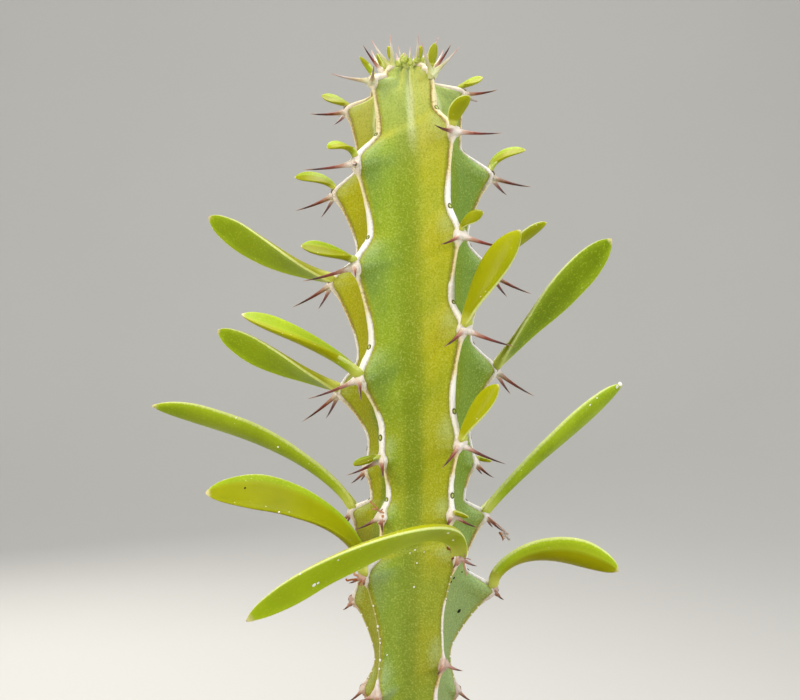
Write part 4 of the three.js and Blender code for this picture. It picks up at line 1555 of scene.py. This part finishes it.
def buildSoil():
    piece = drawProfile(soil["profile"], 96, "soil_bed", False)
    edit(piece)
    bpy.ops.mesh.select_all(action="DESELECT")
    choose(lambda co: co.z > 0.0735 and math.hypot(co.x, co.y) < 0.0008)
    bpy.ops.mesh.edge_face_add()
    done()
    tidyMesh(piece)
    smoother(piece)
    for vertex in piece.data.vertices:
        co = vertex.co
        if co.z > 0.0735:
            lump = noise.noise(co * 210) * 0.55 + noise.noise(co * 480) * 0.45
            free = 1 - ease(math.hypot(co.x, co.y), 0.0435, 0.0452)
            vertex.co.z += lump * soil["lumps"] * mm * free
    return piece


def grainMasters():
    stretches = [(1, 0.8, 0.6), (1, 0.55, 0.4), (0.9, 0.9, 0.75), (1, 0.35, 0.22)]
    return [pebble(f"grain_master_{i}", stretch, 0.16, i + 3, 2 if i < 3 else 1)
            for i, stretch in enumerate(stretches)]


def buildGrit(masters, chance):
    copies = []
    heapStart, heapWidth = soil["heap"]
    inner, outer = soil["spread"]
    for i in range(soil["grains"]):
        if i < soil["heaped"]:
            distance = heapStart + chance.random() ** 1.5 * heapWidth
        else:
            distance = math.sqrt(chance.uniform(inner**2, outer**2))
        bearing = chance.uniform(0, 360)
        size = chance.choice([0.5, 0.6, 0.7, 0.8, 1.0, 1.3]) if i % 19 else chance.uniform(1.5, 2.3)
        distance = min(distance, soil["wall"] - size)
        height = soil["top"] - soil["fall"] * ease(distance, 12, 45) + size * 0.12
        point = outward(bearing) * distance + upward * height
        turn = Matrix.Rotation(chance.uniform(0, 6.28), 4, "Z")
        turn = turn @ Matrix.Rotation(chance.uniform(-0.6, 0.6), 4, "X")
        place = Matrix.Translation(point * mm) @ turn @ Matrix.Scale(size * mm, 4)
        copies.append(markAll(copyOf(chance.choice(masters), "grain_copy", place), tone=chance.random()))
    return joined(copies, "soil_grit")


def soilFinish():
    paint = Finish("soilBed")
    grain = paint.cloud(0.9, 4)
    lumps = paint.cells(1.7)
    paint.body = paint.mix(paint.between(grain, 0.38, 0.68), soil["bedColour"], soil["bedPale"])
    relief = paint.bump(grain - lumps * 0.5, 0.6, 0.9)
    return paint.shade(rough=0.92 + grain.sway(0.1), normal=relief, gloss=0.15)


def gritFinish():
    paint = Finish("soilGrit")
    tone = paint.mark("tone")
    grain = paint.cloud(0.45, 3)
    types = soil["grainTypes"]
    paint.body = paint.ramp(tone, *[(i / (len(types) - 1), text) for i, text in enumerate(types)])
    paint.coat(paint.between(grain, 0.45, 0.7) * 0.4, soil["bedColour"])
    relief = paint.bump(grain, 0.15, 0.8)
    return paint.shade(rough=0.9, normal=relief, gloss=0.2)


chance = random.Random(23)
soilPiece = buildSoil()
soilPiece.data.materials.append(soilFinish())
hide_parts("soil")
grainShapes = grainMasters()
gritPiece = buildGrit(grainShapes, chance)
gritPiece.data.materials.append(gritFinish())
for shape in grainShapes:
    bpy.data.objects.remove(shape)
print("soil done,", len(gritPiece.data.polygons), "grit faces")


# floor
# a wide shallow dish, so that no horizon shows
studioDish = [[0.1, 0], [150, 0], [450, 0], [750, 3], [1000, 25], [1200, 100], [1330, 250], [1400, 500],
              [1430, 900], [1440, 1500]]
floor = drawProfile(studioDish[::-1], 64, "studio_floor", False)
edit(floor)
bpy.ops.mesh.remove_doubles(threshold=0.0005)
done()
smoother(floor, 2)
bpy.ops.object.shade_smooth()
paint = Finish("studioFloor")
dust = paint.cloud(300, 2)
paint.body = paint.mix(dust, "aeadaa", "b3b2af")
floor.data.materials.append(paint.shade(rough=0.8))
print("floor done")

for piece in bpy.context.scene.objects:
    if piece.type == "MESH" and not piece.get("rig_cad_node") and piece is not floor:
        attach(piece, "root")
